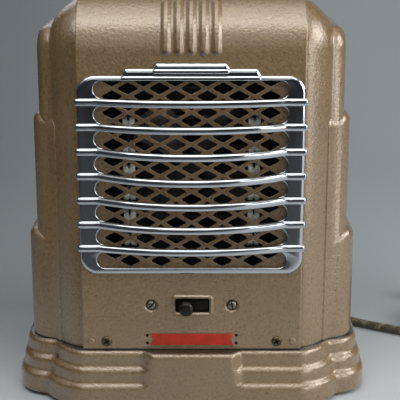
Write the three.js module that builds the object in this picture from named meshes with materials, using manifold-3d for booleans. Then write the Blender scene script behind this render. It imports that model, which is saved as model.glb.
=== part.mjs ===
// A stepped, streamlined table-top fan heater of the 1940s, in millimetres.
// +Z is up, the grille faces -Y, and the origin is on the table under the heater's middle.
// A stamped centre panel rolls over the top between two stepped cheeks, on a stepped hollow base.
// Behind the bowed grille are a lattice screen, a wire element in porcelain bushings, and a fan.

import * as THREE from 'three';
import { mergeVertices } from 'three/addons/utils/BufferGeometryUtils.js';
import Module from 'manifold-3d';

const wasm = await Module();
wasm.setup();

// ---------------------------------------------------------------- driving dimensions

const GAP = 0.3; // between two pieces that seat on each other
const SHEET = 1; // thickness of the casing's sheet steel
const CUT = 1; // how far a cutting solid runs past the face that it opens
const QUARTER = Math.PI / 2;

// Casing
const HEIGHT = 346.5;
const CASE_DEPTH = 165;
const PANEL_WIDTH = 184.5;
const TOP_ROLL = 43.5; // radius where the front and the back roll into the top
const CORNER_RUN = 22.8; // the round from the panel's edge out to the crease
const CORNER_FALL = 26; // and how far back, and down, the crease lies
const CORNER_EASE = 1.4; // 1 is a quarter ellipse, and more is flatter, like a chamfer
const FLANGE = 11.25; // the cheek's flange behind the panel
const SEAM_STEP = 5.6; // the panel stands this far proud of the cheeks beside it
const REAR_SEAM_DROP = 50.5; // from the top down to where the rolled top ends at the back panel
const ROLL_STEPS = 5;
const CORNER_STEPS = 4;

// The three tiers of each cheek, from the tall inner one to the low outer one. The drop is
// from the top of the one before, and for the first from the foot of the corner's fall.
const TIERS = [
  { run: 12.7, fall: 14, drop: 0, roll: 18, shoulder: 12 },
  { run: 18.3, fall: 18, drop: 72.5, roll: 12, shoulder: 7 },
  { run: 25.3, fall: 22, drop: 101.5, roll: 12, shoulder: 7 },
];
const TIER_STEPS = 5;

// Base
const FOOT_HEIGHT = 3;
const BASE_TOP = 50;
const BASE_WALL = 1.2;
const BASE_LEVELS = [21.7, 35.6, BASE_TOP]; // tops of the three steps
const BASE_STEP = 3.7; // each step stands this far outside the next
const BASE_SHOULDER = 4;
const BASE_LOBE = 1.2; // the base's rounded sides reach this much further than the cheeks' own
const BASE_RIM = 18; // width of the turned-in rim that carries the feet
const BASE_PLAN_STEPS = 3;
const BASE_CURL = 1.5; // how far the lower edge curls in
const TABLET_HALF_TOP = 36;
const TABLET_HALF_FOOT = 40;
const TABLET_ROUND = 4;
const FOOT_RADIUS = 7.5;
const FOOT_INSET = 4.25; // from the panel's edge in to the middle of a foot
const FOOT_STEM = 3;

// Ribs over the top
const RIB_COUNT = 5;
const RIB_PITCH = 10.1;
const RIB_WIDTH = 8;
const RIB_RISE = 3;

// Grille
const GRILLE_MARGIN = 0.25; // between the grille's edge and the panel's
const GRILLE_HEADROOM = 8.5; // between the grille's top and the start of the roll
const GRILLE_FOOT = 118.3;
const GRILLE_CORNER = 14.5;
const GRILLE_PLATE = 1.6;
const GRILLE_STEPS = [{ half: 53, rise: 5.6 }, { half: 28.4, rise: 4.4 }];
const GRILLE_HEAD_RAIL = 3.8; // from the plate's lower top edge down to the highest slot
const GRILLE_FOOT_RAIL = 5.4;
const STILE = 13.5; // from the grille's edge in to the slots' ends
const GRILLE_BEAD = 3.4;
const GRILLE_BEAD_RISE = 1.8;
const BAR_COUNT = 7;
const BAR_OVERHANG = 1.7; // past the grille's edge
const BAR_HEIGHT = 6.2;
const BAR_RISE = 3.2;
const BAR_BOWS = [10, 15.5, 22.3, 24.7, 21.5, 18.9, 12.4];
const BOW_MARGIN = 1.5; // from a slot's end in to where its bar starts to bow
const BOW_POWER = 2.2;

// Lattice screen
const SCREEN_THICKNESS = 1;
const SCREEN_SIDE_LAP = 1.8; // how far the screen laps behind the panel at its sides
const SCREEN_END_LAP = 6; // and above and below the window
const LATTICE_PITCH_X = 25.5;
const LATTICE_PITCH_Z = 13.15;
const LATTICE_DROP = 0.225; // from the window's top down to the middle of the highest row
const LATTICE_EDGE = 1.5; // least strip left at the screen's sides and lower end
const HOLE_WIDTH = 15.8;
const HOLE_HEIGHT = 9.3;

// Switch
const SWITCH_Z = 90;
const SWITCH_X = 0.5;
const APERTURE_WIDTH = 28.9;
const APERTURE_HEIGHT = 12.5;
const RIM_WIDTH = 34.2;
const RIM_HEIGHT = 18.5;
const RIM_RISE = 1.4;
const SLIDE_REST_X = -4.6;
const SLIDE_TRAVEL = 11;
const SLIDE_HALF = 21;
const SLIDE_HEIGHT = 16;
const SLIDE_THICKNESS = 1.6;
const KNOB_RADIUS = 6;
const KNOB_REACH = 12; // in front of the panel
const KNOB_HEAD = 5.5; // length of the knob's round head
const KNOB_NECK = 3.2;
const KNOB_EDGE = 0.8;
const SWITCH_DEPTH = 22;
const SWITCH_SCREW_X = 34;

// Fasteners
const SCREW_HEAD = 3.7;
const SCREW_SHANK = 2;
const SCREW_RISE = 1.8;
const SCREW_LENGTH = 7;
const PANEL_SCREW_HEAD = 4.35;
const PANEL_SCREW_INSET = 13.2; // from the rivet beside it
const PANEL_SCREW_Z = 58;
const RIVET_INSET = 7.05; // from the panel's edge
const RIVET_HEAD = 3;
const RIVET_SHANK = 1.5;
const HOLE_PLAY = 0.4; // a screw's hole is this much wider than its shank
const BACK_SCREW_INSET = 26; // from the back panel's lower and upper edges

// Enamelled strip
const STRIP_HALF = 35;
const STRIP_HEIGHT = 10;
const STRIP_Z = 59.8;
const STRIP_THICKNESS = 0.8;
const STRIP_POINT = 2.5;
const STRIP_HOLE = 0.8;
const STRIP_HOLE_CLEAR = 2.6; // from the strip's end
const STRIP_HOLE_RISE = 3.5;

// Fan, ring and motor
const FAN_DROP = 1.2; // of the fan's axis below the window's middle
const FAN_RADIUS = 60;
const FAN_GAP = 5; // between the blade tips and the ring
const BLADE_COUNT = 4;
const BLADE_WIDTH = 44;
const BLADE_PITCH = 0.42; // radians
const BLADE_THICKNESS = 1;
// The blade's outline in parts of half its width and of the fan's radius
const BLADE_START = [-0.4, 0.11];
const BLADE_EDGES = [
  [[-1.1, 0.4], [-1, 0.85], [-0.6, 0.92]],
  [[0, 1.02], [0.9, 1], [1, 0.72]],
  [[1, 0.5], [0.5, 0.35], [0.4, 0.11]],
];
const HUB_RADIUS = 11;
const HUB_LENGTH = 14;
const SHAFT_RADIUS = 3;
const BAFFLE_Y = -45; // front face of the baffle
const BAFFLE_MARGIN = 6.25; // inside the panel's edge
const BAFFLE_HEADROOM = 46.5; // below the casing's top
const BAFFLE_FOOT = 14;
const RING_DEPTH = 26;
const RING_LIP = 5;
const STRAP_CLEAR = 11; // outside the baffle's bore
const STRAP_BACKSET = 23; // behind the ring's sleeve
const STRAP_HEIGHT = 20;
const STRAP_THICKNESS = 2;
const STATOR_WIDTH = 66;
const STATOR_HEIGHT = 58;
const STATOR_DEPTH = 18;
const ROTOR_RADIUS = 15;
const ROTOR_PLAY = 0.5;
const WINDING_DEPTH = 30;
const WINDING_WINDOW = 9; // height of the stack's window above the winding's leg
const WINDING_DROP = 5.4; // how far the winding hangs below the stack
const BEARING_RADIUS = 9;
const BEARING_LENGTH = 10;
const BEARING_PLATE = 2;

// Element
const RUN_COUNT = 6;
const RUN_PITCH = 20;
const RUN_DROP = 11.2; // of the runs' middle below the window's middle
const COIL_RADIUS = 2.6; // of the wire helix's envelope
const RAIL_X = 52;
const RAIL_DEPTH = 22;
const RAIL_END = 14;
const BUSHING_RADIUS = 5.5;
const BUSHING_NECK = 4;
const BUSHING_LENGTH = 10;

// Rear panel and wiring
const INTAKE_RADIUS = 62;
const INTAKE_PITCH = 13;
const INTAKE_SLOT = 5;
const INTAKE_COUNT = 9;
const TERMINAL = { width: 42, depth: 20, height: 15, y: -8 };
const LEAD_RADIUS = 1.6;
const LEAD_STRAIGHT = 24; // a lead runs straight this far at each end
const SUPPLY_LEAD_X = 14;
const MOTOR_LEAD_X = -6;

// Cord
const CORD_RADIUS = 4;
const EXIT_X = 60;
const EXIT_Z = 66;
const RELIEF_LENGTH = 28;
const RELIEF_RADIUS = 7.5;
const RELIEF_NECK = 4; // how far it reaches inside the back panel
const COIL_CENTRE = [276, 102];
const COIL_TURNS = 5.5;
const COIL_INNER = 31.85; // where the winding turns back outwards
const COIL_PITCH = 8.6;
const COIL_ENTRY = -QUARTER * 4 / 3; // angle where the cord joins the coil
const COIL_LIFT = 1.3; // the band lies under the coil
const COIL_LAYER = 8.6;
const COIL_HEAD = 2 * CORD_RADIUS;
const COIL_TAIL = 30;
const TIE_WIDTH = 10;
const TIE_THICKNESS = 0.9;
const PLUG_RADIUS = 13.5;
const PLUG_LENGTH = 32;
const PRONG = { width: 6.3, thickness: 1.5, length: 17, spacing: 12.7 };

// Where the cord runs from the strain relief to the coil, chosen by hand
const CORD_ROUTE = [
  [60, 111.1, 66], [60, 124, 65.4], [60.4, 137, 61.5], [61.5, 149, 53], [63.5, 158, 41],
  [67, 164.5, 28], [73, 168, 16], [82, 169.5, 8], [93, 168.5, 4.9], [105, 164, 4.4],
  [118, 155.5, 4.4], [131, 143, 4.4], [142, 129, 4.4], [153.5, 114, 4.4], [166.6, 102, 4.4],
  [180, 93.3, 4.4], [195, 84.6, 4.5], [209, 76.5, 4.7], [222, 69, 5], [234.2, 62, 5.3],
  [241.1, 58, 5.3],
];

// ---------------------------------------------------------------- derived places

const PANEL_HALF = PANEL_WIDTH / 2;
const CREASE_HALF = PANEL_HALF + CORNER_RUN;
const FRONT = -CASE_DEPTH / 2; // outer face of the front panel
const BACK = CASE_DEPTH / 2;
const CREASE_DEPTH = CASE_DEPTH / 2 - CORNER_FALL;
const CREASE_TOP = HEIGHT - CORNER_FALL;
const REAR_SEAM = HEIGHT - REAR_SEAM_DROP;
const CASE_FOOT = BASE_TOP + GAP;
const BEHIND = FRONT + SHEET + GAP; // front of whatever seats behind the panel
const GRILLE_BACK = FRONT - GAP;
const GRILLE_HALF = PANEL_HALF - GRILLE_MARGIN;
const GRILLE_RISE = GRILLE_STEPS.reduce((sum, step) => sum + step.rise, 0);
const GRILLE_TOP = HEIGHT - TOP_ROLL - GRILLE_HEADROOM - GRILLE_RISE;
const SLOT_HALF = GRILLE_HALF - STILE;
const BOW_HALF = SLOT_HALF - BOW_MARGIN;
const BAR_HALF = GRILLE_HALF + BAR_OVERHANG;
const WINDOW = {
  half: SLOT_HALF + GAP,
  top: GRILLE_TOP - GRILLE_HEAD_RAIL,
  foot: GRILLE_FOOT + GRILLE_FOOT_RAIL,
};
const RETURN_DEPTH = SEAM_STEP - GAP; // how far the panels' side edges turn back
const RISER_OUTER = PANEL_HALF - SHEET - GAP; // outer side of the cheek's riser, inside that edge
const WINDOW_MIDDLE = (WINDOW.top + WINDOW.foot) / 2;
const BAR_PITCH = (WINDOW.top - WINDOW.foot + BAR_HEIGHT) / (BAR_COUNT + 1);
const SLOT_HEIGHT = BAR_PITCH - BAR_HEIGHT;
const BAR_TOP_Z = WINDOW.top - SLOT_HEIGHT - BAR_HEIGHT / 2; // middle of the highest bar
const SCREEN_FOOT = WINDOW.foot - SCREEN_END_LAP;
const LATTICE_TOP_Z = WINDOW.top - LATTICE_DROP;
const LATTICE_ROOM = LATTICE_TOP_Z - SCREEN_FOOT - LATTICE_EDGE - HOLE_HEIGHT / 2;
const LATTICE_ROWS = 1 + Math.floor(LATTICE_ROOM / (LATTICE_PITCH_Z / 2));
const SCREEN_HALF = WINDOW.half + SCREEN_SIDE_LAP;
// Holes in every other row, with one fewer between
const LATTICE_WIDE = 1 + Math.floor((2 * (SCREEN_HALF - LATTICE_EDGE) - HOLE_WIDTH) / LATTICE_PITCH_X);
const RIVET_X = PANEL_HALF - RIVET_INSET;
const PANEL_SCREW_X = RIVET_X - PANEL_SCREW_INSET;
const FOOT_X = PANEL_HALF - FOOT_INSET;
const STRIP_HOLE_X = STRIP_HALF + STRIP_HOLE_CLEAR;
const FAN_Z = WINDOW_MIDDLE - FAN_DROP;
const FAN_Y = BAFFLE_Y + RING_DEPTH / 2;
const BAFFLE_HALF = PANEL_HALF - BAFFLE_MARGIN;
const BAFFLE_TOP = HEIGHT - BAFFLE_HEADROOM;
const BAFFLE_BORE = FAN_RADIUS + FAN_GAP;
const RING_OUTER = BAFFLE_BORE - GAP;
const STRAP_HALF = BAFFLE_BORE + STRAP_CLEAR;
const STRAP_Y = BAFFLE_Y + RING_DEPTH + STRAP_BACKSET;
const STRAP_FOOT_Y = BAFFLE_Y + SHEET + GAP;
const RELIEF_INNER_END = BACK - SHEET - RELIEF_NECK;
const MOTOR_FRONT = STRAP_Y + STRAP_THICKNESS + GAP;
const CORD_Z = CORD_RADIUS + COIL_LIFT;

// ---------------------------------------------------------------- geometry helpers

// A closed BufferGeometry as a solid that can be joined and cut.
function solid(geometry) {
  const bare = geometry.clone();
  bare.deleteAttribute('normal');
  bare.deleteAttribute('uv');
  const merged = mergeVertices(bare, 1e-4);
  const mesh = new wasm.Mesh({
    numProp: 3,
    vertProperties: new Float32Array(merged.getAttribute('position').array),
    triVerts: new Uint32Array(merged.index.array),
  });
  return new wasm.Manifold(mesh);
}

function geometryOf(manifold) {
  const mesh = manifold.getMesh();
  const geometry = new THREE.BufferGeometry();
  geometry.setAttribute('position', new THREE.BufferAttribute(mesh.vertProperties, 3));
  geometry.setIndex(new THREE.BufferAttribute(mesh.triVerts, 1));
  return geometry;
}

function union(solids) {
  return solids.reduce((sum, next) => sum.add(next));
}

function cutAll(body, cutters) {
  return cutters.reduce((left, cutter) => left.subtract(cutter), body);
}

// Skins rings of equally many points, and closes both ends from their middles.
function loft(rings) {
  const size = rings[0].length;
  const points = rings.flat();
  const faces = [];
  for (let row = 0; row + 1 < rings.length; row++) {
    for (let i = 0; i < size; i++) {
      const next = (i + 1) % size;
      const [a, b] = [row * size + i, row * size + next];
      faces.push(a, b, a + size, b, b + size, a + size);
    }
  }
  const last = (rings.length - 1) * size;
  points.push(middle(rings[0]), middle(rings[rings.length - 1]));
  for (let i = 0; i < size; i++) {
    const next = (i + 1) % size;
    faces.push(next, i, points.length - 2);
    faces.push(last + i, last + next, points.length - 1);
  }
  if (signedVolume(points, faces) < 0) faces.reverse();
  const geometry = new THREE.BufferGeometry();
  geometry.setAttribute('position', new THREE.Float32BufferAttribute(points.flat(), 3));
  geometry.setIndex(faces);
  return solid(geometry);
}

function middle(ring) {
  const sum = [0, 1, 2].map((axis) => ring.reduce((total, point) => total + point[axis], 0));
  return sum.map((value) => value / ring.length);
}

function signedVolume(points, faces) {
  let volume = 0;
  for (let i = 0; i < faces.length; i += 3) {
    const [a, b, c] = [faces[i], faces[i + 1], faces[i + 2]].map((at) => points[at]);
    volume += a[0] * (b[1] * c[2] - b[2] * c[1]);
    volume += a[1] * (b[2] * c[0] - b[0] * c[2]);
    volume += a[2] * (b[0] * c[1] - b[1] * c[0]);
  }
  return volume;
}

function block(low, high) {
  const size = high.map((value, axis) => value - low[axis]);
  const box = new THREE.BoxGeometry(...size);
  box.translate(...high.map((value, axis) => (value + low[axis]) / 2));
  return solid(box);
}

// A round bar along Y.
function rod(radius, x, z, from, to, sides = 8) {
  const bar = new THREE.CylinderGeometry(radius, radius, to - from, sides);
  bar.translate(x, (from + to) / 2, z);
  return solid(bar);
}

// The cutter for a round hole along Y: its flats, not its corners, lie on the radius.
function drill(radius, x, z, from, to, sides = 8) {
  return rod(radius / Math.cos((2 * QUARTER) / sides), x, z, from, to, sides);
}

// A plate drawn in the front view, with its thickness along Y from front to back.
function plate(shape, front, back, curveSegments = 3) {
  const depth = back - front;
  const slab = new THREE.ExtrudeGeometry(shape, { depth, bevelEnabled: false, curveSegments });
  slab.rotateX(QUARTER);
  slab.translate(0, back, 0);
  return solid(slab);
}

function roundedRectangle(half, foot, top, radius, middleX = 0) {
  const shape = new THREE.Shape();
  const [left, right] = [middleX - half, middleX + half];
  shape.absarc(right - radius, top - radius, radius, 0, QUARTER);
  shape.absarc(left + radius, top - radius, radius, QUARTER, 2 * QUARTER);
  shape.absarc(left + radius, foot + radius, radius, 2 * QUARTER, 3 * QUARTER);
  shape.absarc(right - radius, foot + radius, radius, 3 * QUARTER, 4 * QUARTER);
  shape.closePath();
  return shape;
}

// A profile of [radius, distance] turned about an axis along Y, closed on the axis at both ends.
function turned(profile, sides = 14) {
  const points = profile.map(([radius, along]) => new THREE.Vector2(radius, along));
  return new THREE.LatheGeometry(points, sides);
}

// A round tube along a curve.
function tube(curve, radius, steps, sides) {
  const section = new THREE.Shape();
  for (let i = 0; i < sides; i++) {
    const turn = (i / sides) * 4 * QUARTER;
    const [x, y] = [radius * Math.cos(turn), radius * Math.sin(turn)];
    if (i === 0) section.moveTo(x, y);
    else section.lineTo(x, y);
  }
  section.closePath();
  return new THREE.ExtrudeGeometry(section, { steps, extrudePath: curve, bevelEnabled: false });
}

// ---------------------------------------------------------------- materials and scene graph

function finish(color, roughness, metalness) {
  return new THREE.MeshStandardMaterial({ color, roughness, metalness });
}

const bronzePaint = finish(0x7a6850, 0.42, 0.45);
const chrome = finish(0xd8dadc, 0.1, 1);
const blackSteel = finish(0x2c2a28, 0.6, 0.7);
const brightSteel = finish(0xa8a6a0, 0.35, 1);
const aluminium = finish(0xb9bbbd, 0.35, 1);
const porcelain = finish(0xe9e5da, 0.3, 0);
const nichrome = finish(0x4a4541, 0.5, 0.8);
const bakelite = finish(0x2a2018, 0.3, 0);
const redEnamel = finish(0xa8322a, 0.35, 0.1);
const copper = finish(0x8a4b2c, 0.5, 0.6);
const rubber = finish(0x1c1b1a, 0.8, 0);
const cloth = finish(0x4a4434, 0.9, 0);
const brass = finish(0xb08d46, 0.35, 1);
const cotton = finish(0x8c8570, 0.9, 0);

const heater = new THREE.Group();

function add(name, shape, material, parent = heater) {
  const geometry = shape.isBufferGeometry ? shape : geometryOf(shape);
  const mesh = new THREE.Mesh(geometry, material);
  mesh.name = name;
  parent.add(mesh);
  return mesh;
}

// ---------------------------------------------------------------- casing

// The casing's side view at one station: up the front, over the top and down the back.
function archRing(x, halfDepth, foot, top, roll) {
  const ring = [[x, -halfDepth, foot]];
  for (let i = 0; i <= ROLL_STEPS; i++) {
    const turn = (i / ROLL_STEPS) * QUARTER;
    const inset = roll * (1 - Math.cos(turn));
    ring.push([x, -halfDepth + inset, top - roll * (1 - Math.sin(turn))]);
  }
  const rear = ring.map(([, y, z]) => [x, -y, z]).reverse();
  return [...ring, ...rear];
}

// The corner's own curve, flatter than a quarter ellipse.
function easedSine(turn) {
  return Math.max(0, Math.sin(turn)) ** CORNER_EASE;
}

// The middle of the casing, from one seam out to the crease, with walls moved in by wall.
function coreSolid(from, wall, foot, steps) {
  const run = CORNER_RUN - wall;
  const fall = CORNER_FALL - SEAM_STEP - wall;
  const rings = [];
  const ringAt = (x, inset) => {
    const depth = SEAM_STEP + wall + inset;
    return archRing(x, CASE_DEPTH / 2 - depth, foot, HEIGHT - depth, TOP_ROLL - depth);
  };
  if (from < PANEL_HALF) rings.push(ringAt(from, 0));
  for (let i = 0; i <= steps; i++) {
    const turn = (i / steps) * QUARTER;
    const x = PANEL_HALF + run * easedSine(turn);
    if (x > from) rings.push(ringAt(x, fall * (1 - easedSine(QUARTER - turn))));
    else if (i === 0) rings.push(ringAt(from, 0));
  }
  return loft(rings);
}

// One tier of a cheek, from inside the crease out to its rounded side.
function tierSolid(tier, top, wall, foot, steps) {
  const start = CREASE_HALF - wall;
  const rings = [];
  const ringAt = (x, inset, drop) => {
    const roll = Math.max(tier.roll - wall - inset / 2, tier.roll / 3);
    const halfDepth = CREASE_DEPTH - wall - inset;
    return archRing(x, halfDepth, foot, top - wall - drop, roll);
  };
  rings.push(ringAt(start - CORNER_RUN / 2, 0, 0));
  for (let i = 0; i <= steps; i++) {
    const turn = (i / steps) * QUARTER;
    const x = start + tier.run * Math.sin(turn);
    const edge = Math.max(0, x - (start + tier.run - tier.shoulder)) / tier.shoulder;
    const drop = tier.shoulder * (1 - Math.sqrt(Math.max(0, 1 - edge * edge)));
    rings.push(ringAt(x, tier.fall * (1 - Math.cos(turn)), drop));
  }
  return loft(rings);
}

function cheekSolid(from, wall, foot, cornerSteps, tierSteps) {
  let top = CREASE_TOP;
  const tiers = TIERS.map((tier) => {
    top -= tier.drop;
    return tierSolid(tier, top, wall, foot, tierSteps);
  });
  return union([coreSolid(from, wall, foot, cornerSteps), ...tiers]);
}

// A band of the casing's side view between two stations, wall in from the panel's own face.
function archBand(x0, x1, wall, foot = CASE_FOOT) {
  const depth = CASE_DEPTH / 2 - wall;
  return loft([x0, x1].map((x) => archRing(x, depth, foot, HEIGHT - wall, TOP_ROLL - wall)));
}

// The hollow that leaves a band open below and at both sides.
function deepCut(x0, x1, wall) {
  return archBand(x0 - CUT, x1 + CUT, wall, CASE_FOOT - CUT);
}

// A strip round behind the panel's edge, and the riser that ties it to the cheek's own wall.
function flangeSolid() {
  const seat = SHEET + GAP;
  const from = PANEL_HALF - FLANGE;
  const strip = archBand(from, RISER_OUTER, seat).subtract(deepCut(from, RISER_OUTER, seat + SHEET));
  const riserBand = archBand(RISER_OUTER - SHEET, RISER_OUTER, seat);
  const reach = SEAM_STEP + SHEET;
  return strip.add(riserBand.subtract(deepCut(RISER_OUTER - SHEET, RISER_OUTER, reach)));
}

function cheekShell() {
  const from = RISER_OUTER - SHEET;
  const outer = cheekSolid(from, 0, CASE_FOOT, CORNER_STEPS, TIER_STEPS);
  const inner = cheekSolid(from - CUT, SHEET, CASE_FOOT - CUT, 2, 2);
  return outer.subtract(inner).add(flangeSolid());
}

// A panel's side edge, turned back towards the cheek.
function sideReturn() {
  const from = PANEL_HALF - SHEET;
  return archBand(from, PANEL_HALF, 0).subtract(deepCut(from, PANEL_HALF, RETURN_DEPTH));
}

function bandAcross(wall, foot) {
  const depth = CASE_DEPTH / 2 - wall;
  const half = PANEL_HALF + (wall > 0 ? CUT : 0);
  return loft([-half, half].map((x) => archRing(x, depth, foot, HEIGHT - wall, TOP_ROLL - wall)));
}

// One rib: a half-round ridge along the front, over the roll and down to the rear seam.
function rib(x) {
  const path = archRing(0, CASE_DEPTH / 2, HEIGHT - TOP_ROLL, HEIGHT, TOP_ROLL).slice(1, -1);
  const last = path.length - 1;
  const rings = path.map(([, y, z], i) => {
    const [, y0, z0] = path[Math.max(0, i - 1)];
    const [, y1, z1] = path[Math.min(last, i + 1)];
    const length = Math.hypot(y1 - y0, z1 - z0);
    const [outY, outZ] = [-(z1 - z0) / length, (y1 - y0) / length];
    const scale = i === 0 || i === last ? 0.45 : 1;
    return ribSection(scale).map(([across, rise]) => [x + across, y + outY * rise, z + outZ * rise]);
  });
  return loft(rings);
}

function ribSection(scale) {
  const half = (RIB_WIDTH / 2) * scale;
  const section = [[half, -SHEET / 2], [-half, -SHEET / 2]];
  for (let i = 0; i <= 3; i++) {
    const turn = 2 * QUARTER * (1 - i / 3);
    section.push([half * Math.cos(turn), RIB_RISE * scale * Math.sin(turn)]);
  }
  return section;
}

function frontPanel() {
  const returns = [sideReturn(), sideReturn().mirror([1, 0, 0])];
  const wrap = bandAcross(0, CASE_FOOT).subtract(bandAcross(SHEET, CASE_FOOT - CUT));
  const shell = union([wrap, ...returns]);
  const rear = block([-CREASE_HALF, 0, 0], [CREASE_HALF, CASE_DEPTH, REAR_SEAM + GAP]);
  const window = roundedRectangle(WINDOW.half, WINDOW.foot, WINDOW.top, SLOT_HEIGHT / 2);
  const [rimLow, rimHigh] = [SWITCH_Z - RIM_HEIGHT / 2, SWITCH_Z + RIM_HEIGHT / 2];
  const rim = roundedRectangle(RIM_WIDTH / 2, rimLow, rimHigh, 3, SWITCH_X);
  const [low, high] = [SWITCH_Z - APERTURE_HEIGHT / 2, SWITCH_Z + APERTURE_HEIGHT / 2];
  const aperture = roundedRectangle(APERTURE_WIDTH / 2, low, high, 1.5, SWITCH_X);
  const ribs = [];
  for (let i = 0; i < RIB_COUNT; i++) ribs.push(rib((i - (RIB_COUNT - 1) / 2) * RIB_PITCH));
  const through = (radius, x, z, sides = 8) => {
    return drill(radius, x, z, FRONT - CUT, FRONT + SHEET + CUT, sides);
  };
  const holes = [];
  for (const side of [-1, 1]) {
    holes.push(through(SCREW_SHANK + HOLE_PLAY, side * SWITCH_SCREW_X, SWITCH_Z));
    holes.push(through(SCREW_SHANK + HOLE_PLAY, side * PANEL_SCREW_X, PANEL_SCREW_Z));
    holes.push(through(RIVET_SHANK + HOLE_PLAY, side * RIVET_X, PANEL_SCREW_Z));
    for (const rise of [-STRIP_HOLE_RISE, STRIP_HOLE_RISE]) {
      holes.push(through(STRIP_HOLE, side * STRIP_HOLE_X, STRIP_Z + rise, 6));
    }
  }
  const body = shell.subtract(rear).subtract(plate(window, FRONT - CUT, FRONT + SHEET + CUT));
  const raised = union([body, plate(rim, FRONT - RIM_RISE, FRONT + SHEET / 2), ...ribs]);
  const reach = FRONT - RIM_RISE - CUT;
  return cutAll(raised, [plate(aperture, reach, FRONT + SHEET + CUT), ...holes]);
}

function intakeSlots() {
  const slots = [];
  for (let i = 0; i < INTAKE_COUNT; i++) {
    const rise = (i - (INTAKE_COUNT - 1) / 2) * INTAKE_PITCH;
    const half = Math.sqrt(INTAKE_RADIUS ** 2 - rise ** 2);
    const z = FAN_Z + rise;
    const slot = roundedRectangle(half, z - INTAKE_SLOT / 2, z + INTAKE_SLOT / 2, INTAKE_SLOT / 2);
    slots.push(plate(slot, BACK - SHEET - CUT, BACK + CUT, 2));
  }
  return slots;
}

const BACK_SCREW_ZS = [CASE_FOOT + BACK_SCREW_INSET, REAR_SEAM - BACK_SCREW_INSET];

function backPanel() {
  const flat = block([-PANEL_HALF, BACK - SHEET, CASE_FOOT], [PANEL_HALF, BACK, REAR_SEAM]);
  const edges = [-PANEL_HALF, PANEL_HALF - SHEET].map((x) => {
    return block([x, BACK - RETURN_DEPTH, CASE_FOOT], [x + SHEET, BACK, REAR_SEAM]);
  });
  const sheet = union([flat, ...edges]);
  const holes = intakeSlots();
  for (const side of [-1, 1]) {
    for (const z of BACK_SCREW_ZS) {
      const hole = SCREW_SHANK + HOLE_PLAY;
      holes.push(drill(hole, side * RIVET_X, z, BACK - SHEET - CUT, BACK + CUT));
    }
  }
  holes.push(drill(RELIEF_RADIUS - SHEET + GAP, EXIT_X, EXIT_Z, BACK - SHEET - CUT, BACK + CUT));
  return cutAll(sheet, holes);
}

// Holes in a cheek's flanges, for the rivet in front and the screws behind.
function flangeHoles() {
  const holes = [];
  const depth = 2 * (SHEET + GAP);
  holes.push(drill(RIVET_SHANK + HOLE_PLAY, RIVET_X, PANEL_SCREW_Z, FRONT, FRONT + depth + CUT));
  for (const z of BACK_SCREW_ZS) {
    holes.push(drill(SCREW_SHANK + HOLE_PLAY, RIVET_X, z, BACK - depth - CUT, BACK));
  }
  return holes;
}

// ---------------------------------------------------------------- base

// The base's plan, which follows the casing's, moved out by offset.
function basePlan(offset, z) {
  const quarter = [];
  for (let i = 0; i <= BASE_PLAN_STEPS; i++) {
    const turn = (i / BASE_PLAN_STEPS) * QUARTER;
    const x = PANEL_HALF + (CORNER_RUN + offset) * easedSine(turn);
    const inset = CORNER_FALL * (1 - easedSine(QUARTER - turn));
    quarter.push([x, -(CASE_DEPTH / 2 + offset) + inset]);
  }
  const lobe = TIERS[TIERS.length - 1];
  for (let i = 1; i <= BASE_PLAN_STEPS; i++) {
    const turn = (i / BASE_PLAN_STEPS) * QUARTER;
    const y = -(CREASE_DEPTH + offset) + (lobe.fall + offset) * (1 - Math.cos(turn));
    quarter.push([CREASE_HALF + offset + (lobe.run + BASE_LOBE) * Math.sin(turn), y]);
  }
  const rear = quarter.map(([x, y]) => [x, -y]).reverse();
  const right = [...quarter, ...rear];
  const left = right.map(([x, y]) => [-x, y]).reverse();
  return [...right, ...left].map(([x, y]) => [x, y, z]);
}

// The stepped side of the base as [height, offset from the casing's plan] from the foot up.
function baseProfile(wall, shoulderSteps) {
  const steps = BASE_LEVELS.length;
  const profile = [[FOOT_HEIGHT, steps * BASE_STEP - BASE_CURL - wall]];
  profile.push([FOOT_HEIGHT + 2 * BASE_CURL, steps * BASE_STEP - wall]);
  BASE_LEVELS.forEach((level, i) => {
    const offset = (steps - 1 - i) * BASE_STEP - wall;
    const top = level - wall;
    for (let j = 0; j <= shoulderSteps; j++) {
      const turn = (j / shoulderSteps) * QUARTER;
      const z = top - BASE_SHOULDER * (1 - Math.sin(turn));
      profile.push([z, offset + BASE_STEP * Math.cos(turn)]);
    }
  });
  return profile;
}

// The smooth upright tablet at the middle of the base's front.
function tabletSolid(wall) {
  const front = FRONT - BASE_LEVELS.length * BASE_STEP + wall;
  const rings = [];
  const ringAt = (z, half, y) => {
    const ring = [[half, FRONT + TABLET_ROUND, z]];
    for (let i = 0; i <= 3; i++) {
      const turn = (i / 3) * QUARTER;
      const x = half - TABLET_ROUND * (1 - Math.cos(turn));
      ring.push([x, y + TABLET_ROUND * (1 - Math.sin(turn)), z]);
    }
    return [...ring, ...ring.map(([x, ry]) => [-x, ry, z]).reverse()];
  };
  const curl = wall > 0 ? 0 : BASE_CURL;
  rings.push(ringAt(FOOT_HEIGHT, TABLET_HALF_FOOT - wall, front + curl));
  rings.push(ringAt(FOOT_HEIGHT + 2 * BASE_CURL, TABLET_HALF_FOOT - wall, front));
  for (let i = 0; i <= 2; i++) {
    const turn = (i / 2) * QUARTER;
    const z = BASE_TOP - wall - BASE_STEP * (1 - Math.sin(turn));
    rings.push(ringAt(z, TABLET_HALF_TOP - wall, front + BASE_STEP * (1 - Math.cos(turn))));
  }
  return loft(rings);
}

function baseSolid(wall, shoulderSteps) {
  const skirt = loft(baseProfile(wall, shoulderSteps).map(([z, offset]) => basePlan(offset, z)));
  return skirt.add(tabletSolid(wall));
}

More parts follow.
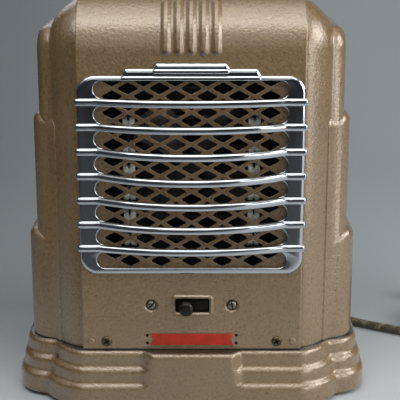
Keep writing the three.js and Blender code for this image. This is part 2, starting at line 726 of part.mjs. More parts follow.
function eachFoot(place) {
  for (const x of [-FOOT_X, FOOT_X]) {
    for (const end of [-1, 1]) {
      const name = `${end < 0 ? 'front' : 'rear'}_${x < 0 ? 'left' : 'right'}`;
      place(x, end * FOOT_Y, name);
    }
  }
}

const RIM_OUTER = BASE_LEVELS.length * BASE_STEP - BASE_CURL;
const FOOT_Y = CASE_DEPTH / 2 + RIM_OUTER - BASE_RIM / 2 + 1;
const TAB_HALF = 7;

function baseSkirt() {
  const rim = FOOT_HEIGHT + BASE_WALL;
  const below = block([-2 * CREASE_HALF, -CASE_DEPTH, 0], [2 * CREASE_HALF, CASE_DEPTH, rim]);
  const hollow = baseSolid(BASE_WALL, 1).subtract(below);
  const mouthPlan = [FOOT_HEIGHT - CUT, rim + CUT].map((z) => basePlan(RIM_OUTER - BASE_RIM, z));
  const holes = [];
  eachFoot((x, y) => {
    const hole = new THREE.CylinderGeometry(FOOT_STEM + GAP, FOOT_STEM + GAP, 2 * rim, 10);
    hole.rotateX(QUARTER);
    hole.translate(x, y, FOOT_HEIGHT);
    holes.push(solid(hole));
  });
  const tabs = [-PANEL_SCREW_X, PANEL_SCREW_X].map((x) => {
    const low = [x - TAB_HALF, BEHIND, BASE_TOP - BASE_WALL];
    return block(low, [x + TAB_HALF, BEHIND + BASE_WALL, PANEL_SCREW_Z + TAB_HALF]);
  });
  for (const x of [-PANEL_SCREW_X, PANEL_SCREW_X]) {
    const reach = BEHIND + BASE_WALL + CUT;
    holes.push(drill(SCREW_SHANK + HOLE_PLAY, x, PANEL_SCREW_Z, BEHIND - CUT, reach));
  }
  const shell = baseSolid(0, 2).subtract(hollow).subtract(loft(mouthPlan));
  return cutAll(union([shell, ...tabs]), holes);
}

function foot() {
  const top = FOOT_HEIGHT + BASE_WALL + GAP;
  const pad = FOOT_HEIGHT - GAP;
  const profile = [[0, 0], [FOOT_RADIUS - 0.5, 0], [FOOT_RADIUS, pad]];
  profile.push([FOOT_STEM, pad], [FOOT_STEM, top], [FOOT_STEM + 1.5, top], [0, top + 2]);
  return turned(profile, 10).rotateX(QUARTER);
}

// ---------------------------------------------------------------- grille and screen

// The grille's outline: a rounded rectangle whose top rises in two shallow steps.
function grilleOutline(inset) {
  const half = GRILLE_HALF - inset;
  const corner = GRILLE_CORNER - inset;
  const shape = new THREE.Shape();
  const top = GRILLE_TOP - inset;
  shape.absarc(-half + corner, GRILLE_FOOT + inset + corner, corner, 2 * QUARTER, 3 * QUARTER);
  shape.absarc(half - corner, GRILLE_FOOT + inset + corner, corner, 3 * QUARTER, 4 * QUARTER);
  shape.absarc(half - corner, top - corner, corner, 0, QUARTER);
  let level = top;
  for (const step of GRILLE_STEPS) {
    shape.lineTo(step.half - inset + step.rise / 2, level);
    level += step.rise;
    shape.lineTo(step.half - inset, level);
  }
  for (const step of [...GRILLE_STEPS].reverse()) {
    shape.lineTo(-step.half + inset, level);
    level -= step.rise;
    shape.lineTo(-step.half + inset - step.rise / 2, level);
  }
  shape.absarc(-half + corner, top - corner, corner, QUARTER, 2 * QUARTER);
  shape.closePath();
  return shape;
}

function bow(x, reach) {
  const across = Math.abs(x) / BOW_HALF;
  return across >= 1 ? 0 : reach * (1 - across ** BOW_POWER);
}

// One bar: a rounded ridge over a lower lip, bowed forward in the middle.
function bar(z, reach) {
  const half = BAR_HEIGHT / 2;
  const section = [
    [half, 0], [half, 0.5 * BAR_RISE], [0.4 * half, BAR_RISE],
    [-0.3 * half, 0.55 * BAR_RISE], [-half, 0.55 * BAR_RISE], [-half, 0],
  ];
  const stations = [-BAR_HALF, -BOW_HALF];
  for (const part of [-0.7, -0.36, 0, 0.36, 0.7]) {
    stations.push(part * BOW_HALF);
  }
  stations.push(BOW_HALF, BAR_HALF);
  const back = GRILLE_BACK - GRILLE_PLATE / 2;
  return loft(stations.map((x) => {
    const forward = back - bow(x, reach);
    return section.map(([up, out]) => [x, forward - out, z + up]);
  }));
}

function chromeGrille() {
  const front = GRILLE_BACK - GRILLE_PLATE;
  const cutters = [];
  for (let i = 0; i <= BAR_COUNT; i++) {
    const z = BAR_TOP_Z + BAR_PITCH / 2 - i * BAR_PITCH;
    const slot = roundedRectangle(SLOT_HALF, z - SLOT_HEIGHT / 2, z + SLOT_HEIGHT / 2, SLOT_HEIGHT / 2);
    cutters.push(plate(slot, front - 2 * CUT, GRILLE_BACK + CUT, 2));
  }
  const straight = SLOT_HALF - SLOT_HEIGHT / 2;
  const low = [-straight, front - CUT, WINDOW.foot + SLOT_HEIGHT / 2];
  cutters.push(block(low, [straight, GRILLE_BACK + CUT, WINDOW.top - SLOT_HEIGHT / 2]));
  const bars = BAR_BOWS.map((reach, i) => bar(BAR_TOP_Z - i * BAR_PITCH, reach));
  const sheet = plate(grilleOutline(0), front, GRILLE_BACK);
  const inside = plate(grilleOutline(GRILLE_BEAD), front - GRILLE_BEAD_RISE - CUT, front + CUT);
  const bead = plate(grilleOutline(0), front - GRILLE_BEAD_RISE, front + CUT / 2).subtract(inside);
  return union([cutAll(sheet, cutters), bead, ...bars]);
}

function diamondScreen() {
  const half = SCREEN_HALF;
  const [foot, top] = [SCREEN_FOOT, WINDOW.top + SCREEN_END_LAP];
  const shape = new THREE.Shape();
  shape.moveTo(-half, foot).lineTo(half, foot).lineTo(half, top).lineTo(-half, top);
  shape.closePath();
  for (let row = 0; row < LATTICE_ROWS; row++) {
    const z = LATTICE_TOP_Z - (row * LATTICE_PITCH_Z) / 2;
    const count = LATTICE_WIDE - (row % 2);
    for (let i = 0; i < count; i++) {
      const x = (i - (count - 1) / 2) * LATTICE_PITCH_X;
      const hole = new THREE.Path();
      hole.moveTo(x - HOLE_WIDTH / 2, z).lineTo(x, z - HOLE_HEIGHT / 2);
      hole.lineTo(x + HOLE_WIDTH / 2, z).lineTo(x, z + HOLE_HEIGHT / 2);
      hole.closePath();
      shape.holes.push(hole);
    }
  }
  return plate(shape, BEHIND, BEHIND + SCREEN_THICKNESS);
}

function nameStrip() {
  const half = STRIP_HALF;
  const [low, high] = [STRIP_Z - STRIP_HEIGHT / 2, STRIP_Z + STRIP_HEIGHT / 2];
  const shape = new THREE.Shape();
  shape.moveTo(-half, low).lineTo(half, low).lineTo(half - STRIP_POINT, STRIP_Z);
  shape.lineTo(half, high).lineTo(-half, high).lineTo(-half + STRIP_POINT, STRIP_Z);
  shape.closePath();
  return plate(shape, FRONT - GAP - STRIP_THICKNESS, FRONT - GAP);
}

// ---------------------------------------------------------------- switch

const SLIDE_FRONT = BEHIND + GAP;
const POCKET_BACK = SLIDE_FRONT + SLIDE_THICKNESS + GAP;

function switchBody() {
  const pocket = {
    left: SLIDE_REST_X - SLIDE_HALF - GAP,
    right: SLIDE_REST_X + SLIDE_TRAVEL + SLIDE_HALF + GAP,
    low: SWITCH_Z - SLIDE_HEIGHT / 2 - GAP,
    high: SWITCH_Z + SLIDE_HEIGHT / 2 + GAP,
  };
  const wall = 2.2;
  const back = BEHIND + SWITCH_DEPTH;
  const bodyLow = [pocket.left - wall, BEHIND, pocket.low - wall];
  const body = block(bodyLow, [pocket.right + wall, back, pocket.high + wall]);
  const ear = SWITCH_SCREW_X + 2 * SCREW_HEAD;
  const [earLow, earHigh] = [SWITCH_Z - 2 * SCREW_HEAD, SWITCH_Z + 2 * SCREW_HEAD];
  const ears = block([-ear, BEHIND, earLow], [ear, POCKET_BACK, earHigh]);
  const cutLow = [pocket.left, BEHIND - CUT, pocket.low];
  const cutters = [block(cutLow, [pocket.right, POCKET_BACK, pocket.high])];
  for (const x of [-SWITCH_SCREW_X, SWITCH_SCREW_X]) {
    cutters.push(drill(SCREW_SHANK + HOLE_PLAY, x, SWITCH_Z, BEHIND - CUT, POCKET_BACK + 3 * CUT));
  }
  return cutAll(body.add(ears), cutters);
}

// The moulded slide: a plate behind the aperture, and the round knob in front of it.
function switchSlide() {
  const [low, high] = [SWITCH_Z - SLIDE_HEIGHT / 2, SWITCH_Z + SLIDE_HEIGHT / 2];
  const left = [SLIDE_REST_X - SLIDE_HALF, SLIDE_FRONT, low];
  const slide = block(left, [SLIDE_REST_X + SLIDE_HALF, SLIDE_FRONT + SLIDE_THICKNESS, high]);
  const tip = FRONT - KNOB_REACH;
  const root = SLIDE_FRONT + SLIDE_THICKNESS / 2;
  const profile = [
    [0, root], [KNOB_NECK, root], [KNOB_NECK, tip + KNOB_HEAD + 2 * KNOB_EDGE],
    [KNOB_RADIUS - KNOB_EDGE, tip + KNOB_HEAD + KNOB_EDGE], [KNOB_RADIUS, tip + KNOB_HEAD],
    [KNOB_RADIUS, tip + 2 * KNOB_EDGE], [KNOB_RADIUS - 2 * KNOB_EDGE, tip + KNOB_EDGE / 2], [0, tip],
  ].reverse();
  const knob = turned(profile, 14).translate(SLIDE_REST_X, 0, SWITCH_Z);
  return slide.add(solid(knob));
}

// ---------------------------------------------------------------- fasteners

// A screw along +Y with its head at y = 0 and below, with a slot or a cross in the head.
function screw(head, turns) {
  const profile = [
    [0, SCREW_LENGTH], [SCREW_SHANK, SCREW_LENGTH], [SCREW_SHANK, 0], [head, 0],
    [head * 0.75, -SCREW_RISE * 0.8], [0, -SCREW_RISE],
  ].reverse();
  const body = solid(turned(profile, 8));
  const cutters = turns.map((turn) => {
    const slot = new THREE.BoxGeometry(turns.length > 1 ? head * 1.2 : head * 2.2, 1.2, 0.9);
    slot.rotateY(turn);
    slot.translate(0, -SCREW_RISE, 0);
    return solid(slot);
  });
  return geometryOf(cutAll(body, cutters));
}

function rivet() {
  const reach = 2 * (SHEET + GAP);
  const profile = [
    [0, reach + 1.2], [RIVET_SHANK + 0.8, reach + 0.9], [RIVET_SHANK + 0.8, reach],
    [RIVET_SHANK, reach], [RIVET_SHANK, 0], [RIVET_HEAD, 0], [RIVET_HEAD * 0.75, -0.8], [0, -1.1],
  ].reverse();
  return turned(profile, 8);
}

// ---------------------------------------------------------------- fan, motor and element

function bafflePlate() {
  const low = [-BAFFLE_HALF, BAFFLE_Y, CASE_FOOT];
  const sheet = block(low, [BAFFLE_HALF, BAFFLE_Y + SHEET, BAFFLE_TOP]);
  const toe = block(low, [BAFFLE_HALF, BAFFLE_Y + BAFFLE_FOOT, CASE_FOOT + SHEET]);
  const bore = drill(BAFFLE_BORE, 0, FAN_Z, BAFFLE_Y - CUT, BAFFLE_Y + SHEET + CUT, 24);
  return sheet.add(toe).subtract(bore);
}

// The polished ring: a lip in front of the baffle and a sleeve back round the blades.
function fanRing() {
  const lip = BAFFLE_Y - GAP;
  const profile = [
    [RING_OUTER - SHEET, RING_DEPTH + BAFFLE_Y], [RING_OUTER - SHEET, lip - SHEET],
    [RING_OUTER + RING_LIP, lip - SHEET], [RING_OUTER + RING_LIP, lip], [RING_OUTER, lip],
    [RING_OUTER, RING_DEPTH + BAFFLE_Y], [RING_OUTER - SHEET, RING_DEPTH + BAFFLE_Y],
  ];
  return turned(profile, 24).translate(0, 0, FAN_Z);
}

function fanBlades() {
  const hubBack = HUB_LENGTH / 2;
  const hub = solid(turned([
    [0, -hubBack], [HUB_RADIUS * 0.7, -hubBack], [HUB_RADIUS, -hubBack + 3], [HUB_RADIUS, hubBack],
    [0, hubBack],
  ], 20));
  const blades = [];
  for (let i = 0; i < BLADE_COUNT; i++) {
    const shape = new THREE.Shape();
    const at = ([across, up]) => [across * BLADE_WIDTH / 2, up * FAN_RADIUS];
    shape.moveTo(...at(BLADE_START));
    for (const points of BLADE_EDGES) shape.bezierCurveTo(...points.flatMap(at));
    shape.closePath();
    const options = { depth: BLADE_THICKNESS, bevelEnabled: false, curveSegments: 3 };
    const blade = new THREE.ExtrudeGeometry(shape, options);
    blade.translate(0, 0, -BLADE_THICKNESS / 2);
    blade.rotateX(QUARTER);
    blade.rotateZ(BLADE_PITCH);
    blade.rotateY((i / BLADE_COUNT) * 4 * QUARTER + QUARTER / 2);
    blades.push(solid(blade));
  }
  const bore = drill(SHAFT_RADIUS + GAP, 0, 0, -hubBack - CUT, hubBack + CUT);
  return union([hub, ...blades]).subtract(bore);
}

const MOTOR = {
  plateFront: MOTOR_FRONT,
  stackFront: MOTOR_FRONT + BEARING_PLATE + BEARING_LENGTH,
};
MOTOR.stackBack = MOTOR.stackFront + STATOR_DEPTH;
MOTOR.rearPlate = MOTOR.stackBack + BEARING_LENGTH;
const WINDING_HALF = STATOR_WIDTH / 4;
const WINDING_FOOT = FAN_Z - STATOR_HEIGHT / 2 - WINDING_DROP;
const WINDING_Y = (MOTOR.stackFront + MOTOR.stackBack) / 2;

// A strap from the baffle round behind the fan, which carries the motor.
function motorStrap() {
  const [low, high] = [FAN_Z - STRAP_HEIGHT / 2, FAN_Z + STRAP_HEIGHT / 2];
  const across = block([-STRAP_HALF, STRAP_Y, low], [STRAP_HALF, STRAP_Y + STRAP_THICKNESS, high]);
  const pieces = [across];
  for (const side of [-1, 1]) {
    const leg = [side * STRAP_HALF, side * (STRAP_HALF - STRAP_THICKNESS)].sort((a, b) => a - b);
    pieces.push(block([leg[0], STRAP_FOOT_Y, low], [leg[1], STRAP_Y + STRAP_THICKNESS, high]));
    const toe = [side * STRAP_HALF, side * (BAFFLE_HALF - GAP)].sort((a, b) => a - b);
    pieces.push(block([toe[0], STRAP_FOOT_Y, low], [toe[1], STRAP_FOOT_Y + STRAP_THICKNESS, high]));
  }
  const hole = drill(SHAFT_RADIUS + CUT, 0, FAN_Z, STRAP_Y - CUT, MOTOR_FRONT + CUT);
  return union(pieces).subtract(hole);
}

function motorStator() {
  const rise = STATOR_HEIGHT / 2;
  const half = STATOR_WIDTH / 2;
  const low = FAN_Z - rise;
  const stack = block([-half, MOTOR.stackFront, low], [half, MOTOR.stackBack, FAN_Z + rise]);
  const [from, to] = [MOTOR.stackFront - CUT, MOTOR.stackBack + CUT];
  const bore = drill(ROTOR_RADIUS + ROTOR_PLAY, 0, FAN_Z, from, to, 24);
  const neck = block(
    [-half - CUT, MOTOR.stackFront - CUT, low - CUT],
    [-WINDING_HALF * 0.7, MOTOR.stackBack + CUT, low + WINDING_WINDOW],
  );
  return cutAll(stack, [bore, neck, neck.mirror([1, 0, 0])]);
}

// The winding round the stack's lower leg.
function motorWinding() {
  const top = FAN_Z - STATOR_HEIGHT / 2 + WINDING_WINDOW - GAP;
  const half = WINDING_DEPTH / 2;
  const wide = WINDING_HALF * 1.7;
  const outer = block([-wide, WINDING_Y - half, WINDING_FOOT], [wide, WINDING_Y + half, top]);
  const leg = WINDING_HALF * 0.7 + GAP;
  const hole = block(
    [-leg, MOTOR.stackFront - GAP, WINDING_FOOT + WINDING_DROP - GAP],
    [leg, MOTOR.stackBack + GAP, top + CUT],
  );
  return outer.subtract(hole);
}

// A bearing bracket: a bar over the stack's middle with a round bearing cup.
function bearingBracket(front, direction) {
  const half = STATOR_WIDTH * 0.42;
  const [y0, y1] = [front, front + direction * BEARING_PLATE].sort((a, b) => a - b);
  const web = block([-half, y0, FAN_Z - BEARING_RADIUS], [half, y1, FAN_Z + BEARING_RADIUS]);
  const pieces = [web];
  const reach = front + direction * (BEARING_PLATE + BEARING_LENGTH - GAP);
  const [p0, p1] = [front, reach].sort((a, b) => a - b);
  for (const side of [-1, 1]) {
    const x = side * (half - BEARING_PLATE * 1.5);
    pieces.push(rod(BEARING_PLATE * 1.2, x, FAN_Z, p0, p1, 6));
  }
  const [c0, c1] = [front, front + direction * BEARING_LENGTH * 0.8].sort((a, b) => a - b);
  pieces.push(rod(BEARING_RADIUS * 0.8, 0, FAN_Z, c0, c1));
  const bore = drill(SHAFT_RADIUS + GAP, 0, FAN_Z, c0 - 2 * CUT, c1 + 2 * CUT);
  return union(pieces).subtract(bore);
}

function motorShaft() {
  const front = FAN_Y - HUB_LENGTH / 2 - 2;
  const back = MOTOR.rearPlate + BEARING_PLATE + 4;
  const shaft = rod(SHAFT_RADIUS, 0, 0, front, back);
  const rotor = rod(ROTOR_RADIUS, 0, 0, MOTOR.stackFront, MOTOR.stackBack, 24);
  return shaft.add(rotor);
}

const RAIL_BACK = BAFFLE_Y - SHEET - 2 * GAP; // clear of the ring's lip
const RAIL_FRONT = RAIL_BACK - RAIL_DEPTH;
const RUN_Y = RAIL_FRONT + RAIL_DEPTH / 2;
const RUN_SPAN = (RUN_COUNT - 1) * RUN_PITCH;
const RUN_LOW_Z = WINDOW_MIDDLE - RUN_DROP - RUN_SPAN / 2;
const RUN_TOP_Z = RUN_LOW_Z + RUN_SPAN;

// An upright strip, slotted from the front for the bushings, with feet on the baffle.
function elementRail(side) {
  const [x0, x1] = [side * RAIL_X - SHEET / 2, side * RAIL_X + SHEET / 2];
  const [low, high] = [RUN_LOW_Z - RAIL_END, RUN_TOP_Z + RAIL_END];
  const pieces = [block([x0, RAIL_FRONT, low], [x1, RAIL_BACK, high])];
  const foot = RAIL_END * 0.7;
  for (const [z0, z1] of [[low - foot, low + foot / 2], [high - foot / 2, high + foot]]) {
    pieces.push(block([x0, RAIL_BACK - foot, z0], [x1, BAFFLE_Y - GAP, z1]));
  }
  const cutters = [];
  for (let i = 0; i < RUN_COUNT; i++) {
    const z = RUN_LOW_Z + i * RUN_PITCH;
    const reach = BUSHING_NECK + GAP;
    cutters.push(block([x0 - CUT, RAIL_FRONT - CUT, z - reach], [x1 + CUT, RUN_Y + reach, z + reach]));
  }
  return cutAll(union(pieces), cutters);
}

// A grooved porcelain bushing along X, bored for the wire helix.
function bushing() {
  const [half, groove] = [BUSHING_LENGTH / 2, SHEET / 2 + GAP];
  const bore = COIL_RADIUS + GAP;
  const profile = [
    [bore, -half], [BUSHING_RADIUS, -half], [BUSHING_RADIUS, -groove], [BUSHING_NECK, -groove],
    [BUSHING_NECK, groove], [BUSHING_RADIUS, groove], [BUSHING_RADIUS, half], [bore, half],
    [bore, -half],
  ];
  return turned(profile, 7).rotateZ(-QUARTER);
}

// The element's centre line: runs across between the rails, joined by half circles.
function elementCurve() {
  const straight = RAIL_X + BUSHING_LENGTH / 2 + 1;
  const radius = RUN_PITCH / 2;
  const curve = new THREE.CurvePath();
  let from = new THREE.Vector3(-straight, RUN_Y, RUN_LOW_Z);
  for (let i = 0; i < RUN_COUNT; i++) {
    const side = i % 2 === 0 ? 1 : -1;
    const z = RUN_LOW_Z + i * RUN_PITCH;
    const to = new THREE.Vector3(side * straight, RUN_Y, z);
    curve.add(new THREE.LineCurve3(from, to));
    if (i + 1 < RUN_COUNT) {
      curve.add(new HalfTurn(side, straight, z + radius, radius));
      from = new THREE.Vector3(side * straight, RUN_Y, z + RUN_PITCH);
    }
  }
  return curve;
}

class HalfTurn extends THREE.Curve {
  constructor(side, x, z, radius) {
    super();
    Object.assign(this, { side, x, z, radius });
  }

  getPoint(t) {
    const turn = (t - 0.5) * 2 * QUARTER;
    const x = this.side * (this.x + this.radius * Math.cos(turn));
    return new THREE.Vector3(x, RUN_Y, this.z + this.radius * Math.sin(turn));
  }
}

// The element as one plain tube, the envelope of its fine wire helix.
function heatingElement() {
  const rings = [];
  const sides = 5;
  const curve = elementCurve();
  for (const part of curve.curves) {
    const steps = part.isLineCurve3 ? 1 : 5;
    for (let i = rings.length === 0 ? 0 : 1; i <= steps; i++) {
      const at = part.getPoint(i / steps);
      const along = part.getTangent(Math.min(0.999, Math.max(0.001, i / steps)));
      const across = new THREE.Vector3(-along.z, 0, along.x);
      const ring = [];
      for (let j = 0; j < sides; j++) {
        const turn = (j / sides) * 4 * QUARTER;
        const point = at.clone().addScaledVector(across, COIL_RADIUS * Math.cos(turn));
        point.y += COIL_RADIUS * Math.sin(turn);
        ring.push(point.toArray());
      }
      rings.push(ring);
    }
  }
  return loft(rings);
}

// ---------------------------------------------------------------- wiring

function lead(points) {
  const curve = new THREE.CatmullRomCurve3(points.map((point) => new THREE.Vector3(...point)));
  return tube(curve, LEAD_RADIUS, 10, 5);
}

// ---------------------------------------------------------------- cord

// A flat spiral in, a climb to the upper layer where it reverses, and a spiral out, between
// a straight end that meets the cord and a straight tail that reaches the plug.
class CoilCurve extends THREE.Curve {
  getPoint(t) {
    const winding = COIL_TURNS * 4 * QUARTER * (COIL_INNER + (COIL_TURNS * COIL_PITCH) / 4);
    const along = t * (COIL_HEAD + winding + COIL_TAIL) - COIL_HEAD;
    const turns = COIL_TURNS * Math.min(1, Math.max(0, along / winding));
    const away = along < 0 ? along : Math.max(0, along - winding);
    const angle = COIL_ENTRY + turns * 4 * QUARTER;
    const radius = COIL_INNER + COIL_PITCH * Math.abs(turns - COIL_TURNS / 2);
    const climb = Math.min(1, Math.max(0, 2 * (turns - COIL_TURNS / 2) + 0.5));
    const lift = CORD_Z + COIL_LAYER * climb * climb * (3 - 2 * climb);
    const x = COIL_CENTRE[0] + radius * Math.cos(angle) - away * Math.sin(angle);
    const y = COIL_CENTRE[1] + radius * Math.sin(angle) + away * Math.cos(angle);
    return new THREE.Vector3(x, y, lift);
  }
}

const coilCurve = new CoilCurve();
const COIL_STEPS = Math.round(22 * COIL_TURNS) + 4;

// The least distance between the winding's surfaces, on points a turn or so apart.
function leastCoilGap() {
  const points = coilCurve.getSpacedPoints(COIL_STEPS * 3);
  const skip = Math.round(points.length / COIL_TURNS / 2);
  let least = Infinity;
  for (let i = 0; i < points.length; i++) {
    for (let j = i + skip; j < points.length; j++) {
      least = Math.min(least, points[i].distanceTo(points[j]));
    }
  }
  return least - 2 * CORD_RADIUS;
}

function strainRelief() {
  const end = BACK + RELIEF_LENGTH;
  const neck = RELIEF_RADIUS - SHEET;
  const profile = [
    [0, RELIEF_INNER_END], [neck, RELIEF_INNER_END], [neck, BACK + GAP], [RELIEF_RADIUS + 1, BACK + GAP],
    [RELIEF_RADIUS + 1, BACK + 3], [RELIEF_RADIUS, BACK + 4.5], [CORD_RADIUS + 1.2, end], [0, end],
  ];
  return turned(profile, 12).translate(EXIT_X, 0, EXIT_Z);
}

// The band round the coil's turns, on the side away from the heater.
function cordTie() {
  const slack = 0.5;
  const inner = COIL_INNER - CORD_RADIUS - slack;
  const outer = COIL_INNER + (COIL_PITCH * COIL_TURNS) / 2 + CORD_RADIUS + slack;
  const low = CORD_Z - CORD_RADIUS - GAP / 2;
  const high = CORD_Z + COIL_LAYER + CORD_RADIUS + slack;
  const ring = (grow) => roundedRectangle(
    (outer - inner) / 2 + grow, low - grow, high + grow, 2 + grow, (outer + inner) / 2,
  );
  const front = -TIE_WIDTH / 2;
  const hole = plate(ring(0), front - CUT, front + TIE_WIDTH + CUT, 2);
  return plate(ring(TIE_THICKNESS), front, front + TIE_WIDTH, 2).subtract(hole);
}

function plugBody() {
  const profile = [
    [0, 0], [CORD_RADIUS + 2, 0], [CORD_RADIUS + 3, 8], [PLUG_RADIUS - 1.5, 14],
    [PLUG_RADIUS, 16], [PLUG_RADIUS, PLUG_LENGTH - 1.5], [PLUG_RADIUS - 1.5, PLUG_LENGTH],
    [0, PLUG_LENGTH],
  ];
  return turned(profile, 14);
}

// ---------------------------------------------------------------- assembly

add('base_skirt', baseSkirt(), bronzePaint);
eachFoot((x, y, place) => add(`foot_${place}`, foot(), rubber).position.set(x, y, 0));

const casing = new THREE.Group();
heater.add(casing);
const cheek = cutAll(cheekShell(), flangeHoles());
add('front_panel', frontPanel(), bronzePaint, casing);
add('back_panel', backPanel(), bronzePaint, casing);
add('side_shell_right', cheek, bronzePaint, casing);
add('side_shell_left', cheek.mirror([1, 0, 0]), bronzePaint, casing);
add('chrome_grille', chromeGrille(), chrome, casing);
add('diamond_screen', diamondScreen(), bronzePaint, casing);
add('name_strip', nameStrip(), redEnamel, casing);

for (const [side, name, slot] of [[-1, 'left', -QUARTER / 2], [1, 'right', -QUARTER * 0.9]]) {
  const switchScrew = add(`switch_screw_${name}`, screw(SCREW_HEAD, [slot]), brightSteel);
  switchScrew.position.set(side * SWITCH_SCREW_X, FRONT - GAP, SWITCH_Z);
  const cross = screw(PANEL_SCREW_HEAD, [QUARTER / 3, QUARTER * 4 / 3]);
  const panelScrew = add(`panel_screw_${name}`, cross, brightSteel);
  panelScrew.position.set(side * PANEL_SCREW_X, FRONT - GAP, PANEL_SCREW_Z);
  const panelRivet = add(`panel_rivet_${name}`, rivet(), bronzePaint);
  panelRivet.position.set(side * RIVET_X, FRONT - GAP, PANEL_SCREW_Z);
  BACK_SCREW_ZS.forEach((z, i) => {
    const level = i === 0 ? 'lower' : 'upper';
    const backScrew = add(`back_screw_${level}_${name}`, screw(SCREW_HEAD, [slot]), brightSteel);
    backScrew.position.set(side * RIVET_X, BACK + GAP, z);
    backScrew.rotation.z = 2 * QUARTER;
  });
}

add('switch_body', switchBody(), bakelite);
add('switch_slide', switchSlide(), bakelite);

add('baffle_plate', bafflePlate(), blackSteel);
add('fan_ring', fanRing(), brightSteel);
for (const [side, name] of [[-1, 'left'], [1, 'right']]) {
  add(`element_rail_${name}`, elementRail(side), blackSteel);
  for (let i = 0; i < RUN_COUNT; i++) {
    const z = RUN_LOW_Z + i * RUN_PITCH;
    add(`bushing_${name}_${i + 1}`, bushing(), porcelain).position.set(side * RAIL_X, RUN_Y, z);
  }
}
add('heating_element', heatingElement(), nichrome);

const motor = new THREE.Group();
heater.add(motor);
add('motor_strap', motorStrap(), blackSteel, motor);
add('motor_stator', motorStator(), brightSteel, motor);
add('motor_winding', motorWinding(), copper, motor);
add('bearing_front', bearingBracket(MOTOR.plateFront, 1), brightSteel, motor);
add('bearing_rear', bearingBracket(MOTOR.rearPlate + BEARING_PLATE, -1), brightSteel, motor);
add('motor_shaft', motorShaft(), brightSteel, motor).position.z = FAN_Z;
add('fan', fanBlades(), aluminium, motor).position.set(0, FAN_Y, FAN_Z);

const terminalTop = CASE_FOOT + TERMINAL.height;
const terminalBack = TERMINAL.y + TERMINAL.depth / 2;
add('terminal_block', block(
  [-TERMINAL.width / 2, TERMINAL.y - TERMINAL.depth / 2, CASE_FOOT],
  [TERMINAL.width / 2, terminalBack, terminalTop],
), porcelain);

const leadZ = CASE_FOOT + TERMINAL.height / 2;
add('lead_supply', lead([
  [EXIT_X, RELIEF_INNER_END - GAP, EXIT_Z], [EXIT_X, RELIEF_INNER_END - LEAD_STRAIGHT, EXIT_Z],
  [SUPPLY_LEAD_X, terminalBack + LEAD_STRAIGHT, leadZ], [SUPPLY_LEAD_X, terminalBack + GAP, leadZ],
]), rubber);
add('lead_motor', lead([
  [0, WINDING_Y, WINDING_FOOT - GAP], [0, WINDING_Y, WINDING_FOOT - LEAD_STRAIGHT],
  [MOTOR_LEAD_X, TERMINAL.y, terminalTop + LEAD_STRAIGHT],
  [MOTOR_LEAD_X, TERMINAL.y, terminalTop + GAP],
]), rubber);

const exit = new THREE.CatmullRomCurve3(CORD_ROUTE.map((point) => new THREE.Vector3(...point)));
add('strain_relief', strainRelief(), rubber);
add('power_cord', tube(exit, CORD_RADIUS, 24, 8), cloth);
add('cord_coil', tube(coilCurve, CORD_RADIUS, COIL_STEPS, 6), cloth);
console.log('least gap in the cord coil, mm:', leastCoilGap().toFixed(2));
console.log('cord length, mm:', (exit.getLength() + coilCurve.getLength()).toFixed(0));

const tie = add('cord_tie', cordTie(), cotton);
tie.position.set(COIL_CENTRE[0], COIL_CENTRE[1], 0);

const plug = new THREE.Group();
const cordEnd = coilCurve.getPoint(1);
const cordAway = coilCurve.getTangent(1);
plug.position.set(cordEnd.x + GAP * cordAway.x, cordEnd.y + GAP * cordAway.y, cordEnd.z);
plug.rotation.z = Math.atan2(cordAway.y, cordAway.x) - QUARTER;
heater.add(plug);
add('plug_body', plugBody(), bakelite, plug);
for (const [side, name] of [[-1, 'left'], [1, 'right']]) {
  const prong = new THREE.BoxGeometry(PRONG.thickness, PRONG.length, PRONG.width);
  const mesh = add(`plug_prong_${name}`, prong, brass, plug);
  mesh.position.set((side * PRONG.spacing) / 2, PLUG_LENGTH + GAP + PRONG.length / 2, 0);
}

// The origin lies under the middle of the heater's own length, from the bowed bars to the relief.
const reachFront = GRILLE_BACK - GRILLE_PLATE / 2 - Math.max(...BAR_BOWS) - BAR_RISE;
const reachBack = BACK + RELIEF_LENGTH;
heater.position.y = -(reachFront + reachBack) / 2;

export default heater;
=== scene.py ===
from math import atan2, cos, dist, hypot, pi, radians, sin, sqrt

import bmesh
import bpy
import numpy as np
from mathutils import Matrix, Vector
from mathutils.geometry import tessellate_polygon


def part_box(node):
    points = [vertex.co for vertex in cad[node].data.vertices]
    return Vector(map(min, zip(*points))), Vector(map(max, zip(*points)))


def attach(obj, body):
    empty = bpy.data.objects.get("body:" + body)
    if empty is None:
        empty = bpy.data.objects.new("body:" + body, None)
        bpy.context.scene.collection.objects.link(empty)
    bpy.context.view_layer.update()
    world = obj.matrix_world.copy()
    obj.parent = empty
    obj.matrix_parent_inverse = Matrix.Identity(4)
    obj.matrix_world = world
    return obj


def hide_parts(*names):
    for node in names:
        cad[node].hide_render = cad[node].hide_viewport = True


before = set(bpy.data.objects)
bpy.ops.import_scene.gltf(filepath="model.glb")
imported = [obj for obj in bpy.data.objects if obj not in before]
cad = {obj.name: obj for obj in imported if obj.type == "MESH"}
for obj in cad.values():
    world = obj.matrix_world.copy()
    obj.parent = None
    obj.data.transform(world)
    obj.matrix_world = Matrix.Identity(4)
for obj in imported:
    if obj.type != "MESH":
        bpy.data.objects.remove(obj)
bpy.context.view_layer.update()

# -------- sizes, in millimetres as in the CAD

